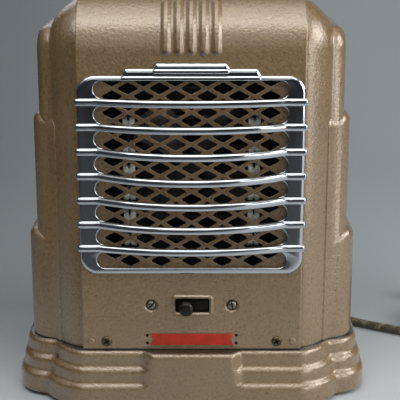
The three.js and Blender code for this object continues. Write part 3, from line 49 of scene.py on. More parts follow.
MM = 0.001
SHIFT_Y = 0.5  # the CAD's own move of the whole heater
GAP = 0.3
SHEET = 1.0
HEIGHT = 346.5
CASE_DEPTH = 165.0
FRONT = -CASE_DEPTH / 2
BACK = CASE_DEPTH / 2
BEHIND = FRONT + SHEET + GAP
PANEL_HALF = 92.25
TOP_ROLL = 43.5
CORNER_RUN = 22.8
CORNER_FALL = 26.0
CORNER_EASE = 1.4
CREASE_HALF = PANEL_HALF + CORNER_RUN
CREASE_DEPTH = CASE_DEPTH / 2 - CORNER_FALL
SEAM_STEP = 5.6
RETURN_DEPTH = SEAM_STEP - GAP
REAR_SEAM = 296.0
FLANGE = 11.25
# each tier's run, fall, top, roll and shoulder
TIERS = [(12.7, 14, 320.5, 18, 12), (18.3, 18, 248, 12, 7), (25.3, 22, 146.5, 12, 7)]

BASE_LOBE = 1.2
BASE_TOP = 50.0
CASE_FOOT = BASE_TOP + GAP
FOOT_HEIGHT = 3.0
BASE_LEVELS = [21.7, 35.6, BASE_TOP]
BASE_STEP = 3.7
BASE_OUT = len(BASE_LEVELS) * BASE_STEP
BASE_CREST = 5.0
BASE_WALL = 1.2
BASE_CURL = 1.5
BASE_RIM = 18.0
TABLET_HALF = 40.0
TABLET_TAPER = 4.0
TABLET_ROLL = 4.4
TABLET_BLEND = 11.0

RIB_PITCH = 10.1
RIB_HALF = 4.35
RIB_RISE = 2.0
RIB_FLANK = 3.4
RIB_FOOT = 301.5
SWITCH_X = 0.5
SWITCH_Z = 90.0
SWITCH_SCREW_X = 34.0
# half width, half height and corner of the switch's window and of the rim round it
SWITCH_WINDOW = (14.45, 6.25, 1.5)
SWITCH_RIM = (15.9, 7.85, 2.6)
RIM_RISE = 1.6
RIM_REACH = 1.85
DIMPLE_DEPTH = 1.7
DIMPLE_FLOOR = 3.9
DIMPLE_FLANK = 2.3
# how far the sheet's edges drop, and over what reach
SIDE_ROLL = (0.42, 0.9)
FOOT_HEM = (0.75, 1.6)
KNOB_X = -4.6
KNOB_REACH = 12
SLIDE_HALF = 21
SLIDE_RISE = 8
SLIDE_DEPTH = 1.6
PANEL_SCREW_X = 72.0
PANEL_SCREW_Z = 58.0
RIVET_X = 85.2
STRIP_Z = 59.8
STRIP_HALF = 35.0
STRIP_RISE = 5.0
STRIP_HOLE = (37.6, 3.5, 1.35)  # place across, place up, radius

GRILLE_BACK = FRONT - GAP
GRILLE_FACE = GRILLE_BACK - 2.4
GRILLE_HALF = 92.0
GRILLE_TOP = 284.5
GRILLE_FOOT = 118.3
GRILLE_CORNER = 14.5
GRILLE_STEPS = [(53, 5.6), (28.4, 4.4)]
SLOT_HALF = 78.5
BAR_PITCH = 20.4
SLOT_HEIGHT = BAR_PITCH - 6.2
BAR_TOP_Z = 263.4
BAR_HALF = 93.7
BAR_BOWS = [10, 15.5, 22.3, 24.7, 21.5, 18.9, 12.4]
BOW_HALF = 77.0
BOW_POWER = 2.2
BAR_SEAT = 0.8
BEAD_HALF = 1.9
WINDOW_TOP = 280.7
WINDOW_FOOT = 123.7
DIAMOND_HALF = (8.7, 5.05)
DIAMOND_ACROSS = 25.5
DIAMOND_UP = 13.15
DIAMOND_TOP = 280.475
DIAMOND_ROWS = 24
EDGE_ROLL = (3.2, 2.3)  # along the plate and across it

FAN_Z = 201.0
FAN_Y = -32.0
VENT_RADIUS = 62.0
VENT_PITCH = 13.0
VENT_COUNT = 9
VENT_HALF = 2.5
LOUVRE = [(0.6, 2.8), (0.6, 3.7), (6.6, -2.4), (6.6, -3.2)]  # depth in, and rise, round a blade
EXIT_X = 60.0
EXIT_Z = 66.0
EXIT_RADIUS = 6.8
RELIEF_LENGTH = 28.0
RUN_PITCH = 20
RUNS = [141 + RUN_PITCH * i for i in range(6)]
RAIL_X = 52.0
RUN_Y = -57.6
WIRE_PITCH = 2.2
WIRE_STEPS = 10
WINDING_RADIUS = 2.25
WIRE_RADIUS = 0.34
CORD_RADIUS = 4.0
COIL_CENTRE = (276.0, 102.0)
COIL_TURNS = 5.5
COIL_INNER = 31.85
COIL_PITCH = 8.6
CORD_ROUTE = [
    (60, 111.1, 66), (60, 124, 65.4), (60.4, 137, 61.5), (61.5, 149, 53), (63.5, 158, 41),
    (67, 164.5, 28), (73, 168, 16), (82, 169.5, 8), (93, 168.5, 4.9), (105, 164, 4.4),
    (118, 155.5, 4.4), (131, 143, 4.4), (142, 129, 4.4), (153.5, 114, 4.4), (166.6, 102, 4.4),
    (180, 93.3, 4.4), (195, 84.6, 4.5), (209, 76.5, 4.7), (222, 69, 5), (234.2, 62, 5.3),
    (241.1, 58, 5.3),
]

# -------- small helpers


def clamp(value):
    return min(1.0, max(0.0, value))


def smooth(value):
    value = clamp(value)
    return value * value * (3 - 2 * value)


def quarter(steps, first=0):
    """Sine and cosine at even steps over a quarter turn."""
    turns = [pi / 2 * i / steps for i in range(first, steps + 1)]
    return [(sin(turn), cos(turn)) for turn in turns]


def metres(point):
    x, y, z = point
    return (x * MM, (y + SHIFT_Y) * MM, z * MM)


def mirrored(places):
    """The same places on the other side, in reverse."""
    return [(-first, second) for first, second in reversed(places)]


def add_object(name, data):
    made = bpy.data.objects.new(name, data)
    bpy.context.scene.collection.objects.link(made)
    return made


def srgb(red, green, blue):
    """An sRGB colour of 0 to 255 as the linear values that a socket takes."""
    def linear(value):
        value /= 255
        return value / 12.92 if value <= 0.04045 else ((value + 0.055) / 1.055) ** 2.4
    return (linear(red), linear(green), linear(blue), 1.0)


# -------- camera

camera_data = bpy.data.cameras.new("camera")
camera_data.lens = 103.5
camera_data.sensor_width = 36
camera_data.clip_end = 50
camera = add_object("camera", camera_data)
camera.location = (0.007, -0.993, 0.426)
camera.rotation_euler = (radians(75), 0, 0)
bpy.context.scene.camera = camera

# -------- node materials


class Nodes:
    """A node tree, with short calls for the nodes that feed its shader."""

    def __init__(self, tree, coordinates="Object"):
        self.tree = tree
        self.place = self.add("ShaderNodeTexCoord").outputs[coordinates]

    def add(self, kind, inputs=None, **settings):
        node = self.tree.nodes.new(kind)
        for key, value in settings.items():
            setattr(node, key, value)
        for key, value in (inputs or {}).items():
            self.feed(node.inputs[key], value)
        return node

    def feed(self, socket, value):
        if isinstance(value, bpy.types.NodeSocket):
            self.tree.links.new(value, socket)
        else:
            socket.default_value = value

    def axes(self, vector=None):
        return self.add("ShaderNodeSeparateXYZ", {0: vector or self.place}).outputs

    def ray(self, kind):
        return self.add("ShaderNodeLightPath").outputs[f"Is {kind} Ray"]

    def noise(self, scale, detail=2.0, rough=0.5, place=None, distortion=0.0):
        inputs = {"Vector": place or self.place, "Scale": scale, "Detail": detail,
                  "Roughness": rough, "Distortion": distortion}
        return self.add("ShaderNodeTexNoise", inputs).outputs["Fac"]

    def math(self, operation, a, b=0.0):
        return self.add("ShaderNodeMath", {0: a, 1: b}, operation=operation).outputs[0]

    def span(self, value, low, high, to_low=0.0, to_high=1.0):
        inputs = {"Value": value, "From Min": low, "From Max": high,
                  "To Min": to_low, "To Max": to_high}
        return self.add("ShaderNodeMapRange", inputs).outputs[0]

    def mix(self, factor, a, b):
        node = self.add("ShaderNodeMix", data_type="RGBA")
        for socket, value in ((0, factor), (6, a), (7, b)):
            self.feed(node.inputs[socket], value)
        return node.outputs[2]


class Paint(Nodes):
    """A Principled material."""

    def __init__(self, name, **sockets):
        self.material = bpy.data.materials.new(name)
        self.material.use_nodes = True
        super().__init__(self.material.node_tree)
        self.shader = self.tree.nodes["Principled BSDF"]
        for socket, value in sockets.items():
            self.shader.inputs[socket.replace("_", " ")].default_value = value

    def finish(self, **sockets):
        for socket, value in sockets.items():
            self.feed(self.shader.inputs[socket.replace("_", " ")], value)
        return self.material

    def bump(self, height, strength, distance, normal=None):
        inputs = {"Height": height, "Strength": strength, "Distance": distance}
        if normal is not None:
            inputs["Normal"] = normal
        return self.add("ShaderNodeBump", inputs).outputs[0]

    def spots(self, places, wobble):
        """1 inside small ragged patches, each given as x, y, z and radius in CAD millimetres."""
        cover = 0.0
        for *place, radius in places:
            inputs = {0: self.place, 1: metres(place)}
            away = self.add("ShaderNodeVectorMath", inputs, operation="DISTANCE").outputs["Value"]
            radius *= MM
            ragged = self.span(wobble, 0.3, 0.7, -0.6 * radius, 0.6 * radius)
            inside = self.span(self.math("ADD", away, ragged), radius, radius * 0.75)
            cover = self.math("MAXIMUM", cover, inside)
        return cover


CHIPS = [
    (-115.4, -66, 38, 2.6), (-116.2, -66.5, 29, 2.8), (118.5, -54.5, 83, 1.6),
    (-37.5, -91, 41, 0.7), (18, -93.2, 37, 0.6), (-9, -93.4, 24, 0.5), (47, -91, 44, 0.8),
    (93.5, -80, 320, 0.8), (-60, -93.5, 18, 0.8), (64, -93.4, 15, 0.9), (100, -90, 12, 1.0),
    (-101, -88, 10, 1.2),
]
# painted shade under the lower ends of the ribs
RIB_END_SHADE = [(RIB_PITCH * i - 0.4, FRONT - 1.2, RIB_FOOT + 0.9, 2.6) for i in range(-2, 3)]


def hammered_enamel(name="bronze_hammertone", shade_share=0.0):
    """Bronze enamel with the small ripples of a hammered stove finish and a few old chips, with
    painted shade under the ribs' ends, in the seam above the base, and over all when asked, for sheet
    in shade.
    """
    paint = Paint(name, Metallic=0.15, Specular_IOR_Level=0.85, Coat_Weight=0.9,
                  Coat_Roughness=0.2, Coat_IOR=1.65)
    ripple = paint.noise(430, 3, 0.55, distortion=0.35)
    cells = {"Vector": paint.place, "Scale": 330}
    cell = paint.add("ShaderNodeTexVoronoi", cells, feature="SMOOTH_F1").outputs["Distance"]
    speck = paint.math("ADD", paint.span(ripple, 0.35, 0.68, 0, 0.75),
                       paint.span(cell, 0.1, 0.62, 0, 0.25))
    colour = paint.mix(speck, srgb(120, 96, 62), srgb(148, 122, 84))
    broad = paint.span(paint.noise(16, 3), 0.3, 0.7)
    colour = paint.mix(0.3, colour, paint.mix(broad, srgb(112, 89, 59), srgb(144, 119, 84)))
    soot = paint.span(paint.noise(55, 4, 0.6), 0.6, 0.8, 0, 0.25)
    colour = paint.mix(soot, colour, srgb(88, 70, 50))
    worn = paint.spots(CHIPS, ripple)
    colour = paint.mix(worn, colour, srgb(38, 27, 20))
    # painted shade under the ribs' lower ends
    shade = paint.math("MULTIPLY", paint.spots(RIB_END_SHADE, ripple), 0.75)
    colour = paint.mix(shade, colour, srgb(66, 47, 27))
    # painted shade in the seam between the case and its base
    seam = paint.math("ABSOLUTE", paint.math("SUBTRACT", paint.axes()[2], CASE_FOOT * MM))
    colour = paint.mix(paint.span(seam, 0.0004, 0.0013, 0.85, 0), colour, srgb(30, 23, 16))
    # painted shade over the whole finish, for sheet that lies in shade
    if shade_share:
        colour = paint.mix(shade_share, colour, srgb(44, 33, 22))
    rough = paint.math("ADD", paint.span(ripple, 0.3, 0.7, 0.24, 0.38),
                       paint.math("MULTIPLY", worn, 0.3))
    height = paint.math("SUBTRACT", ripple, paint.math("MULTIPLY", worn, 0.8))
    dents = paint.bump(height, 0.6, 0.0006)
    return paint.finish(Base_Color=colour, Roughness=rough,
                        Normal=paint.bump(paint.noise(2100, 2), 0.14, 0.00012, dents),
                        Coat_Normal=paint.bump(height, 0.6, 0.0008))


def plated(name, colour, roughness):
    """Bright plating with fine polishing haze."""
    paint = Paint(name, Metallic=1.0)
    haze = paint.span(paint.noise(90, 4, 0.6), 0.35, 0.75, 0, 0.12)
    rough = paint.span(paint.noise(320, 3), 0.3, 0.7, roughness * 0.75, roughness * 1.35)
    return paint.finish(Base_Color=paint.mix(haze, colour, srgb(150, 142, 130)),
                        Roughness=rough, Normal=paint.bump(paint.noise(60, 2), 0.04, 0.0006))


def brushed(name, colour, shade, roughness, metallic=1.0):
    """Machined or rolled metal with streaks, grime and small pits."""
    paint = Paint(name, Metallic=metallic)
    stretch = {"Vector": paint.place, "Scale": (1.0, 1.0, 0.08)}
    streak = paint.noise(1260, 3, 0.6, paint.add("ShaderNodeMapping", stretch).outputs[0])
    grime = paint.span(paint.noise(70, 5, 0.65), 0.45, 0.75, 0, 0.75)
    colour = paint.mix(paint.span(streak, 0.3, 0.7, 0, 0.35), colour, shade)
    rough = paint.span(streak, 0.3, 0.7, roughness * 0.8, min(1.0, roughness * 1.3))
    return paint.finish(Base_Color=paint.mix(grime, colour, shade), Roughness=rough,
                        Normal=paint.bump(paint.noise(840, 3), 0.12, 0.0002))


def moulded(name, colour, shade, roughness, scale=600.0, bump=0.12, shine=0.5):
    """Moulded plastic or rubber: mottled, with a fine skin."""
    paint = Paint(name, Specular_IOR_Level=shine)
    cloud = paint.span(paint.noise(45, 4, 0.6), 0.35, 0.7)
    rough = paint.span(paint.noise(200, 3), 0.3, 0.7, roughness * 0.85, min(1.0, roughness * 1.2))
    return paint.finish(Base_Color=paint.mix(cloud, colour, shade), Roughness=rough,
                        Normal=paint.bump(paint.noise(scale, 4), bump, 0.0003))


def red_enamel():
    paint = Paint("red_enamel", Specular_IOR_Level=0.35, Coat_Weight=0.08, Coat_Roughness=0.2)
    cloud = paint.noise(120, 4, 0.65)
    colour = paint.mix(paint.span(cloud, 0.3, 0.7), srgb(204, 52, 28), srgb(164, 40, 22))
    scuff = paint.span(paint.noise(700, 5, 0.7), 0.66, 0.74, 0, 0.55)
    return paint.finish(Base_Color=paint.mix(scuff, colour, srgb(120, 84, 66)),
                        Roughness=paint.span(cloud, 0.3, 0.7, 0.36, 0.5),
                        Normal=paint.bump(paint.noise(800, 3), 0.15, 0.0002))


def glazed():
    paint = Paint("white_porcelain", Coat_Weight=0.5, Coat_Roughness=0.12)
    stain = paint.span(paint.noise(160, 5, 0.65), 0.5, 0.8, 0, 0.6)
    return paint.finish(Base_Color=paint.mix(stain, srgb(236, 233, 224), srgb(176, 160, 138)),
                        Roughness=paint.span(paint.noise(200, 2), 0.3, 0.7, 0.2, 0.34),
                        Normal=paint.bump(paint.noise(500, 2), 0.1, 0.0002))


def braided_cloth():
    """The cord's cotton braid, from its own length and girth in the UV map."""
    paint = Paint("cloth_braid", Roughness=0.9, Sheen_Weight=0.3, Sheen_Roughness=0.5)
    along, around, _ = paint.axes(paint.add("ShaderNodeUVMap", uv_map="braid").outputs[0])
    turn = 2 * pi

    def strand(sign):
        angle = paint.math("ADD", paint.math("MULTIPLY", along, turn / 0.0062 * 3),
                           paint.math("MULTIPLY", around, sign * turn * 6))
        return paint.span(paint.math("SINE", angle), -1, 1)

    weave = paint.math("MULTIPLY", strand(1), strand(-1))
    fibre = paint.noise(2600, 3)
    patch = paint.noise(170, 4, 0.7)
    colour = paint.mix(paint.span(weave, 0.05, 0.7), srgb(26, 22, 16), srgb(112, 104, 80))
    for cover, tint in (
            (paint.span(paint.noise(60, 4, 0.65), 0.35, 0.65, 0, 0.75), srgb(52, 42, 29)),
            (paint.span(patch, 0.48, 0.6, 0, 0.7), srgb(150, 140, 110)),
            (paint.span(patch, 0.36, 0.46, 0.7, 0), srgb(22, 18, 13)),
            (paint.span(fibre, 0.3, 0.7, 0, 0.3), srgb(112, 104, 84))):
        colour = paint.mix(cover, colour, tint)
    height = paint.math("ADD", weave, paint.math("MULTIPLY", fibre, 0.25))
    return paint.finish(Base_Color=colour, Normal=paint.bump(height, 0.6, 0.0005))


def woven(name, colour, shade, scale):
    paint = Paint(name, Roughness=0.92, Sheen_Weight=0.2)
    wave = {"Vector": paint.place, "Scale": scale, "Distortion": 1.2, "Detail": 2.0}
    across, upward = (paint.add("ShaderNodeTexWave", wave, bands_direction=way).outputs["Fac"]
                      for way in "YZ")
    weave = paint.math("MULTIPLY", across, upward)
    return paint.finish(Base_Color=paint.mix(weave, shade, colour),
                        Normal=paint.bump(weave, 0.5, 0.0004))


ENAMEL = hammered_enamel()
CHROME = plated("bright_chrome", srgb(205, 210, 215), 0.085)
RED = red_enamel()
BAKELITE = moulded("dark_bakelite", srgb(27, 20, 15), srgb(12, 9, 7), 0.34, 500, 0.3, 0.4)
# near-black painted shade for screw slots and the slide's plate behind the switch window
RECESS_SHADE = moulded("painted_recess_shade", srgb(16, 12, 9), srgb(8, 6, 5), 0.85, shine=0.15)
RUBBER = moulded("black_rubber", srgb(30, 29, 28), srgb(20, 19, 18), 0.75)
PLUG_RUBBER = moulded("plug_rubber", srgb(32, 29, 26), srgb(22, 20, 18), 0.6)
COPPER = moulded("varnished_winding", srgb(122, 66, 34), srgb(84, 44, 24), 0.45)
SCREW = brushed("dull_nickel", srgb(150, 146, 136), srgb(72, 62, 50), 0.38)
PANEL_SCREW = brushed("dark_nickel", srgb(112, 100, 80), srgb(60, 50, 38), 0.42)
BLACK_STEEL = brushed("blackened_steel", srgb(20, 18, 16), srgb(10, 9, 8), 0.7, 0.3)
# the ring, motor and fan metals are darker than their own tones: partly their own colour, partly
# painted shade for the inside of the case
RING_STEEL = brushed("ring_steel", srgb(72, 70, 66), srgb(34, 32, 28), 0.3)
MOTOR_STEEL = brushed("motor_steel", srgb(92, 88, 82), srgb(46, 42, 36), 0.45)
FAN_METAL = brushed("fan_aluminium", srgb(104, 104, 100), srgb(58, 54, 48), 0.42)
NICHROME = brushed("oxidised_wire", srgb(70, 62, 56), srgb(34, 30, 28), 0.5, 0.8)
BRASS = brushed("brass", srgb(196, 160, 88), srgb(140, 108, 56), 0.32)
PORCELAIN = glazed()
SLEEVE = woven("lead_sleeve", srgb(54, 50, 44), srgb(24, 22, 20), 320)
BRAID = braided_cloth()
TAPE = woven("cotton_tape", srgb(168, 156, 130), srgb(120, 108, 86), 260)

# -------- mesh helpers


def rebuild(mesh, angle=33.0):
    """Closed normals outward, smooth shading, and sharp edges above an angle."""
    work = bmesh.new()
    work.from_mesh(mesh)
    bmesh.ops.remove_doubles(work, verts=work.verts, dist=1e-6)
    bmesh.ops.recalc_face_normals(work, faces=work.faces)
    work.to_mesh(mesh)
    work.free()
    mesh.shade_smooth()
    mesh.set_sharp_from_angle(angle=radians(angle))


def raw(name, points, faces):
    """A mesh object from CAD millimetres, not yet a piece."""
    mesh = bpy.data.meshes.new(name)
    mesh.from_pydata([metres(point) for point in points], [], [list(face) for face in faces])
    rebuild(mesh)
    return add_object(name, mesh)


def combine(made, others, operation="UNION"):
    for other in others:
        step = made.modifiers.new("step", "BOOLEAN")
        step.operation = operation
        step.solver = "MANIFOLD"
        step.object = other
    graph = bpy.context.evaluated_depsgraph_get()
    mesh = bpy.data.meshes.new_from_object(made.evaluated_get(graph))
    made.modifiers.clear()
    old, made.data = made.data, mesh
    bpy.data.meshes.remove(old)
    for other in others:
        bpy.data.objects.remove(other)
    return made


def cut(made, *others):
    return combine(made, others, "DIFFERENCE")


def join(name, parts):
    """Several meshes as one object."""
    work = bmesh.new()
    for part in parts:
        work.from_mesh(part.data)
        bpy.data.objects.remove(part)
    mesh = bpy.data.meshes.new(name)
    work.to_mesh(mesh)
    work.free()
    return add_object(name, mesh)


def piece(made, name, material, replaces, body="case", angle=33.0):
    """Names a finished mesh, gives it its finish, and lets it ride on a body."""
    made.name = name
    rebuild(made.data, angle)
    made.data.materials.clear()
    made.data.materials.append(material)
    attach(made, body)
    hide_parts(replaces)
    return made


def blacken(made, deep):
    """Gives the faces that a test picks a second finish, of near-black painted shade."""
    made.data.materials.append(RECESS_SHADE)
    for face in made.data.polygons:
        if deep(face):
            face.material_index = 1


def skin(rings, wrap=False):
    """Points and faces over rings of equally many points. Wrap joins the last to the first."""
    size = len(rings[0])
    points = [point for ring in rings for point in ring]
    faces = []
    for row in range(len(rings) if wrap else len(rings) - 1):
        nearer, further = row * size, ((row + 1) % len(rings)) * size
        for i in range(size):
            after = (i + 1) % size
            faces.append((nearer + i, nearer + after, further + after, further + i))
    if not wrap:
        faces.append(tuple(range(size))[::-1])
        faces.append(tuple(range(len(points) - size, len(points))))
    return points, faces


def loft(name, rings, wrap=False):
    return raw(name, *skin(rings, wrap))


def prism(name, outline, start, end, axis="y"):
    """A straight bar along an axis, whose outline is given in the other two."""
    n = "xyz".index(axis)
    return loft(name, [[(*place[:n], level, *place[n:]) for place in outline]
                       for level in (start, end)])


def thick_sheet(name, front, back, wide):
    """Two grids of points with equally many columns, joined round their rim."""
    size = len(front)
    tall = size // wide
    faces = []
    for row in range(tall - 1):
        for i in range(wide - 1):
            a = row * wide + i
            b = size + a
            faces.append((a, a + 1, a + wide + 1, a + wide))
            faces.append((b, b + wide, b + wide + 1, b + 1))
    rim = (list(range(wide)) + [row * wide + wide - 1 for row in range(1, tall)]
           + [(tall - 1) * wide + i for i in reversed(range(wide - 1))]
           + [row * wide for row in reversed(range(1, tall - 1))])
    for i, a in enumerate(rim):
        b = rim[(i + 1) % len(rim)]
        faces.append((a, size + a, size + b, b))
    return raw(name, front + back, faces)


def lathe(name, profile, sides=40, centre=(0, 0, 0), axis="y", flip=1):
    """Turns [radius, along] about an axis through centre. Ends on the axis are closed."""
    n = "xyz".index(axis)
    rings, closed = [], profile[0] == profile[-1]
    for radius, along in profile[:-1] if closed else profile:
        ring = []
        for i in range(sides):
            turn = 2 * pi * i / sides
            offset = [max(radius, 1e-4) * cos(turn), max(radius, 1e-4) * sin(turn)]
            offset.insert(n, along * flip)
            ring.append(tuple(c + d for c, d in zip(centre, offset)))
        rings.append(ring)
    return loft(name, rings, wrap=closed)


def arc(x, y, radius, start, end, steps):
    """Points on an arc in the front view, angles in quarter turns."""
    turns = [(start + (end - start) * i / steps) * pi / 2 for i in range(steps + 1)]
    return [(x + radius * cos(turn), y + radius * sin(turn)) for turn in turns]


def circle(x, y, radius, steps):
    return arc(x, y, radius, 0, 4, steps)[:-1]


def rounded(half, low, high, radius, middle=0.0, steps=8):
    """A rounded rectangle, anticlockwise."""
    left, right = middle - half + radius, middle + half - radius
    bottom, top = low + radius, high - radius
    corners = ((right, top), (left, top), (left, bottom), (right, bottom))
    return [place for n, (x, y) in enumerate(corners)
            for place in arc(x, y, radius, n, n + 1, steps)]


def inset(loop, distance):
    """Moves a closed loop's points sideways, inwards for an anticlockwise loop."""
    def unit(rows):
        return rows / np.maximum(np.linalg.norm(rows, axis=1), 1e-9)[:, None]

    here = np.array(loop, float)
    out = unit(np.roll(here, -1, 0) - here)
    tangent = unit(unit(here - np.roll(here, 1, 0)) + out)
    normal = np.stack([-tangent[:, 1], tangent[:, 0]], 1)
    cosine = np.maximum((tangent * out).sum(1), 0.5)
    return [tuple(p) for p in here + normal * (distance / cosine)[:, None]]


def tidy_loop(loop):
    """Drops repeated neighbours."""
    return [p for i, p in enumerate(loop) if dist(p, loop[i - 1]) > 1e-4]


def profiled_plate(name, outer, holes, outer_edge, hole_edge):
    """A plate in the front view. An edge profile is [distance in from the edge, y], back first."""
    loops = [(tidy_loop(outer), outer_edge, 1)]
    loops += [(tidy_loop(hole), hole_edge, -1) for hole in holes]
    points, faces, ends = [], [], {"front": [], "back": []}
    for loop, edge, sign in loops:
        size = len(loop)
        first = len(points)
        for distance, y in edge:
            points += [(x, y, z) for x, z in inset(loop, sign * distance)]
        for row in range(len(edge) - 1):
            for i in range(size):
                a, b = first + row * size + i, first + row * size + (i + 1) % size
                faces.append((a, b, b + size, a + size))
        ends["back"].append(range(first, first + size))
        ends["front"].append(range(first + (len(edge) - 1) * size, first + len(edge) * size))
    for side in ends.values():
        flat = [index for run in side for index in run]
        polygons = [[Vector((points[i][0], points[i][2], 0)) for i in run] for run in side]
        faces += [tuple(flat[i] for i in face) for face in tessellate_polygon(polygons)]
    return raw(name, points, faces)


def soft_edge(front, back, wide, deep, steps):
    """An edge profile with a rounded front corner."""
    return [(0, back)] + [(wide * (1 - cosine), front + deep * (1 - sine))
                          for sine, cosine in quarter(steps)]


def soften(places, first, last, rounds):
    """Rounds an inner corner off, by averaging each place with its neighbours."""
    for _ in range(rounds):
        soft = list(places)
        for i in range(first, last):
            near = places[i - 1:i + 2]
            soft[i] = tuple((near[0][n] + 2 * near[1][n] + near[2][n]) / 4 for n in (0, 1))
        places = soft
    return places


# -------- casing


def arch(x, depth, foot, top, roll, steps=12):
    """The casing's side view at one station, set in from its front and back by depth."""
    half = CASE_DEPTH / 2 - depth
    ring = [(x, -half, foot)]
    ring += [(x, -half + roll * (1 - cosine), top - roll * (1 - sine))
             for sine, cosine in quarter(steps)]
    return ring + [(px, -y, z) for px, y, z in reversed(ring)]


def band(side, x0, x1, depth, foot=CASE_FOOT, steps=12):
    """A solid arch between two stations."""
    return loft("band", [arch(side * x, depth, foot, HEIGHT - depth, TOP_ROLL - depth, steps)
                         for x in (x0, x1)])


def eased(value):
    """The corner's own curve, flatter than a quarter ellipse."""
    return max(0.0, value) ** CORNER_EASE


def shoulder_drop(x, end, shoulder):
    across = clamp((x - end + shoulder) / shoulder)
    return shoulder * (1 - sqrt(max(0.0, 1 - across * across)))


def cheek_core(side, sizes, start, wall, foot):
    """The corner's round, the soft inner corner at the crease, and the top tier's side."""
    run, fall, top, roll, shoulder = sizes
    seam, low, crease = SEAM_STEP + wall, CORNER_FALL + wall, CREASE_HALF - wall
    reach = CORNER_FALL - seam
    stations = [(start, seam)]  # place across, and how far in from the casing's faces
    for sine, cosine in quarter(22):
        stations.append((PANEL_HALF + (CORNER_RUN - wall) * eased(sine),
                         seam + reach * (1 - eased(cosine))))
    stations += [(crease + run * sine, low + fall * (1 - cosine))
                 for sine, cosine in quarter(18, 1)]
    if wall == 0:
        stations = soften(stations, 12, len(stations) - 10, 5)
    rings = []
    for x, depth in stations:
        past = clamp((x - crease + 2) / 4)
        lower = (HEIGHT - CORNER_FALL - top) * past + shoulder_drop(x, crease + run, shoulder)
        height = HEIGHT - depth * (1 - past) - low * past - lower
        bend = (max(TOP_ROLL - depth, roll / 3) * (1 - past)
                + max(roll - wall - (depth - low) / 2, roll / 3) * past)
        rings.append(arch(side * x, depth, foot, height, bend))
    return loft("core", rings)


def tier(side, sizes, wall, foot):
    """A lower tier, from inside the crease out to its rounded side, with a soft start."""
    run, fall, top, roll, shoulder = sizes
    start, low = CREASE_HALF - wall, CORNER_FALL + wall
    lead_in = ((-8, 5.5), (-1.2, 5.2), (0.6, 3.9), (2, 2.1), (4.2, 0.5))
    stations = [(start + out, low - rise) for out, rise in lead_in]
    stations += [(start + run * sine, low + fall * (1 - cosine))
                 for sine, cosine in quarter(16) if run * sine > 6.5]
    rings = []
    for x, depth in stations:
        bend = max(roll - wall - max(0.0, depth - low) / 2, roll / 3)
        height = top - wall - shoulder_drop(x, start + run, shoulder)
        rings.append(arch(side * x, depth, foot, height, bend))
    return loft("tier", rings)


def cheek(side):
    riser = PANEL_HALF - SHEET - GAP
    below = CASE_FOOT - 1

    def body(wall, foot, start):
        first = cheek_core(side, TIERS[0], start, wall, foot)
        return combine(first, [tier(side, sizes, wall, foot) for sizes in TIERS[1:]])

    shell = cut(body(0, CASE_FOOT, riser - SHEET), body(SHEET, below, riser - SHEET - 1))
    seat = SHEET + GAP
    strip = cut(band(side, PANEL_HALF - FLANGE, riser, seat),
                band(side, PANEL_HALF - FLANGE - 0.75, riser + 1, seat + SHEET, below))
    wall = cut(band(side, riser - SHEET, riser, seat),
               band(side, riser - 2, riser + 1, SEAM_STEP + SHEET, below))
    return combine(shell, [strip, wall])


for side, name in ((1, "right"), (-1, "left")):
    piece(cheek(side), f"cheek_{name}", ENAMEL, f"side_shell_{name}", angle=28)


def panel_path():
    """The panel's side view as (length, y, z, normal y, normal z), from its foot over the top."""
    top = HEIGHT - TOP_ROLL
    levels = {CASE_FOOT, CASE_FOOT + 0.5, CASE_FOOT + 1.0, CASE_FOOT + 1.6, 54, 60, 66, 72, top}
    for first, step, count in ((76, 0.55, 52), (112, 12, 15), (290, 2, 5), (299.4, 0.35, 12)):
        levels.update(first + step * i for i in range(count))
    rows = [(z, FRONT, z, -1, 0) for z in sorted(levels)]
    bend, flat, fall = TOP_ROLL * pi / 2, CASE_DEPTH - 2 * TOP_ROLL, top - REAR_SEAM - GAP
    steps = 26
    for i, (sine, cosine) in enumerate(quarter(steps, 1), 1):
        rows.append((top + bend * i / steps, FRONT + TOP_ROLL * (1 - cosine),
                     top + TOP_ROLL * sine, -cosine, sine))
    length = top + bend
    rows += [(length + flat * i / 12, FRONT + TOP_ROLL + flat * i / 12, HEIGHT, 0, 1)
             for i in range(1, 13)]
    length += flat
    for i, (sine, cosine) in enumerate(quarter(steps, 1), 1):
        rows.append((length + bend * i / steps, BACK - TOP_ROLL * (1 - sine),
                     top + TOP_ROLL * cosine, sine, cosine))
    length += bend
    rows += [(length + fall * i / 7, BACK, top - fall * i / 7, 1, 0) for i in range(1, 8)]
    return rows, length + fall


def rib_height(x, along, total):
    across = min(abs(x - (i - 2) * RIB_PITCH) for i in range(5))
    foot, head = RIB_FOOT - 1.5 + RIB_HALF, total - 4.5 - RIB_HALF
    beyond = max(foot - along, along - head, 0.0)
    flank = clamp((RIB_HALF - hypot(across, beyond)) / RIB_FLANK)
    straight, rounding = 0.8, 0.2  # shares of the flank
    crest = max(0.0, (flank - straight) / rounding)
    rise = min(flank, straight) + rounding * (crest - crest * crest / 2)
    return RIB_RISE * rise / (straight + rounding / 2)


def rectangle_distance(x, z, half_x, half_z, radius):
    dx, dz = abs(x) - half_x + radius, abs(z) - half_z + radius
    return hypot(max(dx, 0), max(dz, 0)) + min(max(dx, dz), 0) - radius


def panel_height(x, along, z, total):
    """How far the sheet stands out from its plain form."""
    height = rib_height(x, along, total) if z > 290 else 0.0
    if z < 110 and along < 303:
        rim = abs(rectangle_distance(x - SWITCH_X, z - SWITCH_Z, *SWITCH_RIM))
        height += RIM_RISE * max(0.0, 1 - hypot(rim / RIM_REACH, 0.15))
        for side in (-1, 1):
            away = hypot(x - side * SWITCH_SCREW_X, z - SWITCH_Z)
            height -= DIMPLE_DEPTH * (1 - clamp((away - DIMPLE_FLOOR) / DIMPLE_FLANK))
    for (drop, reach), inward in ((SIDE_ROLL, PANEL_HALF - abs(x)), (FOOT_HEM, along - CASE_FOOT)):
        height -= drop * (1 - smooth(inward / reach))
    return height


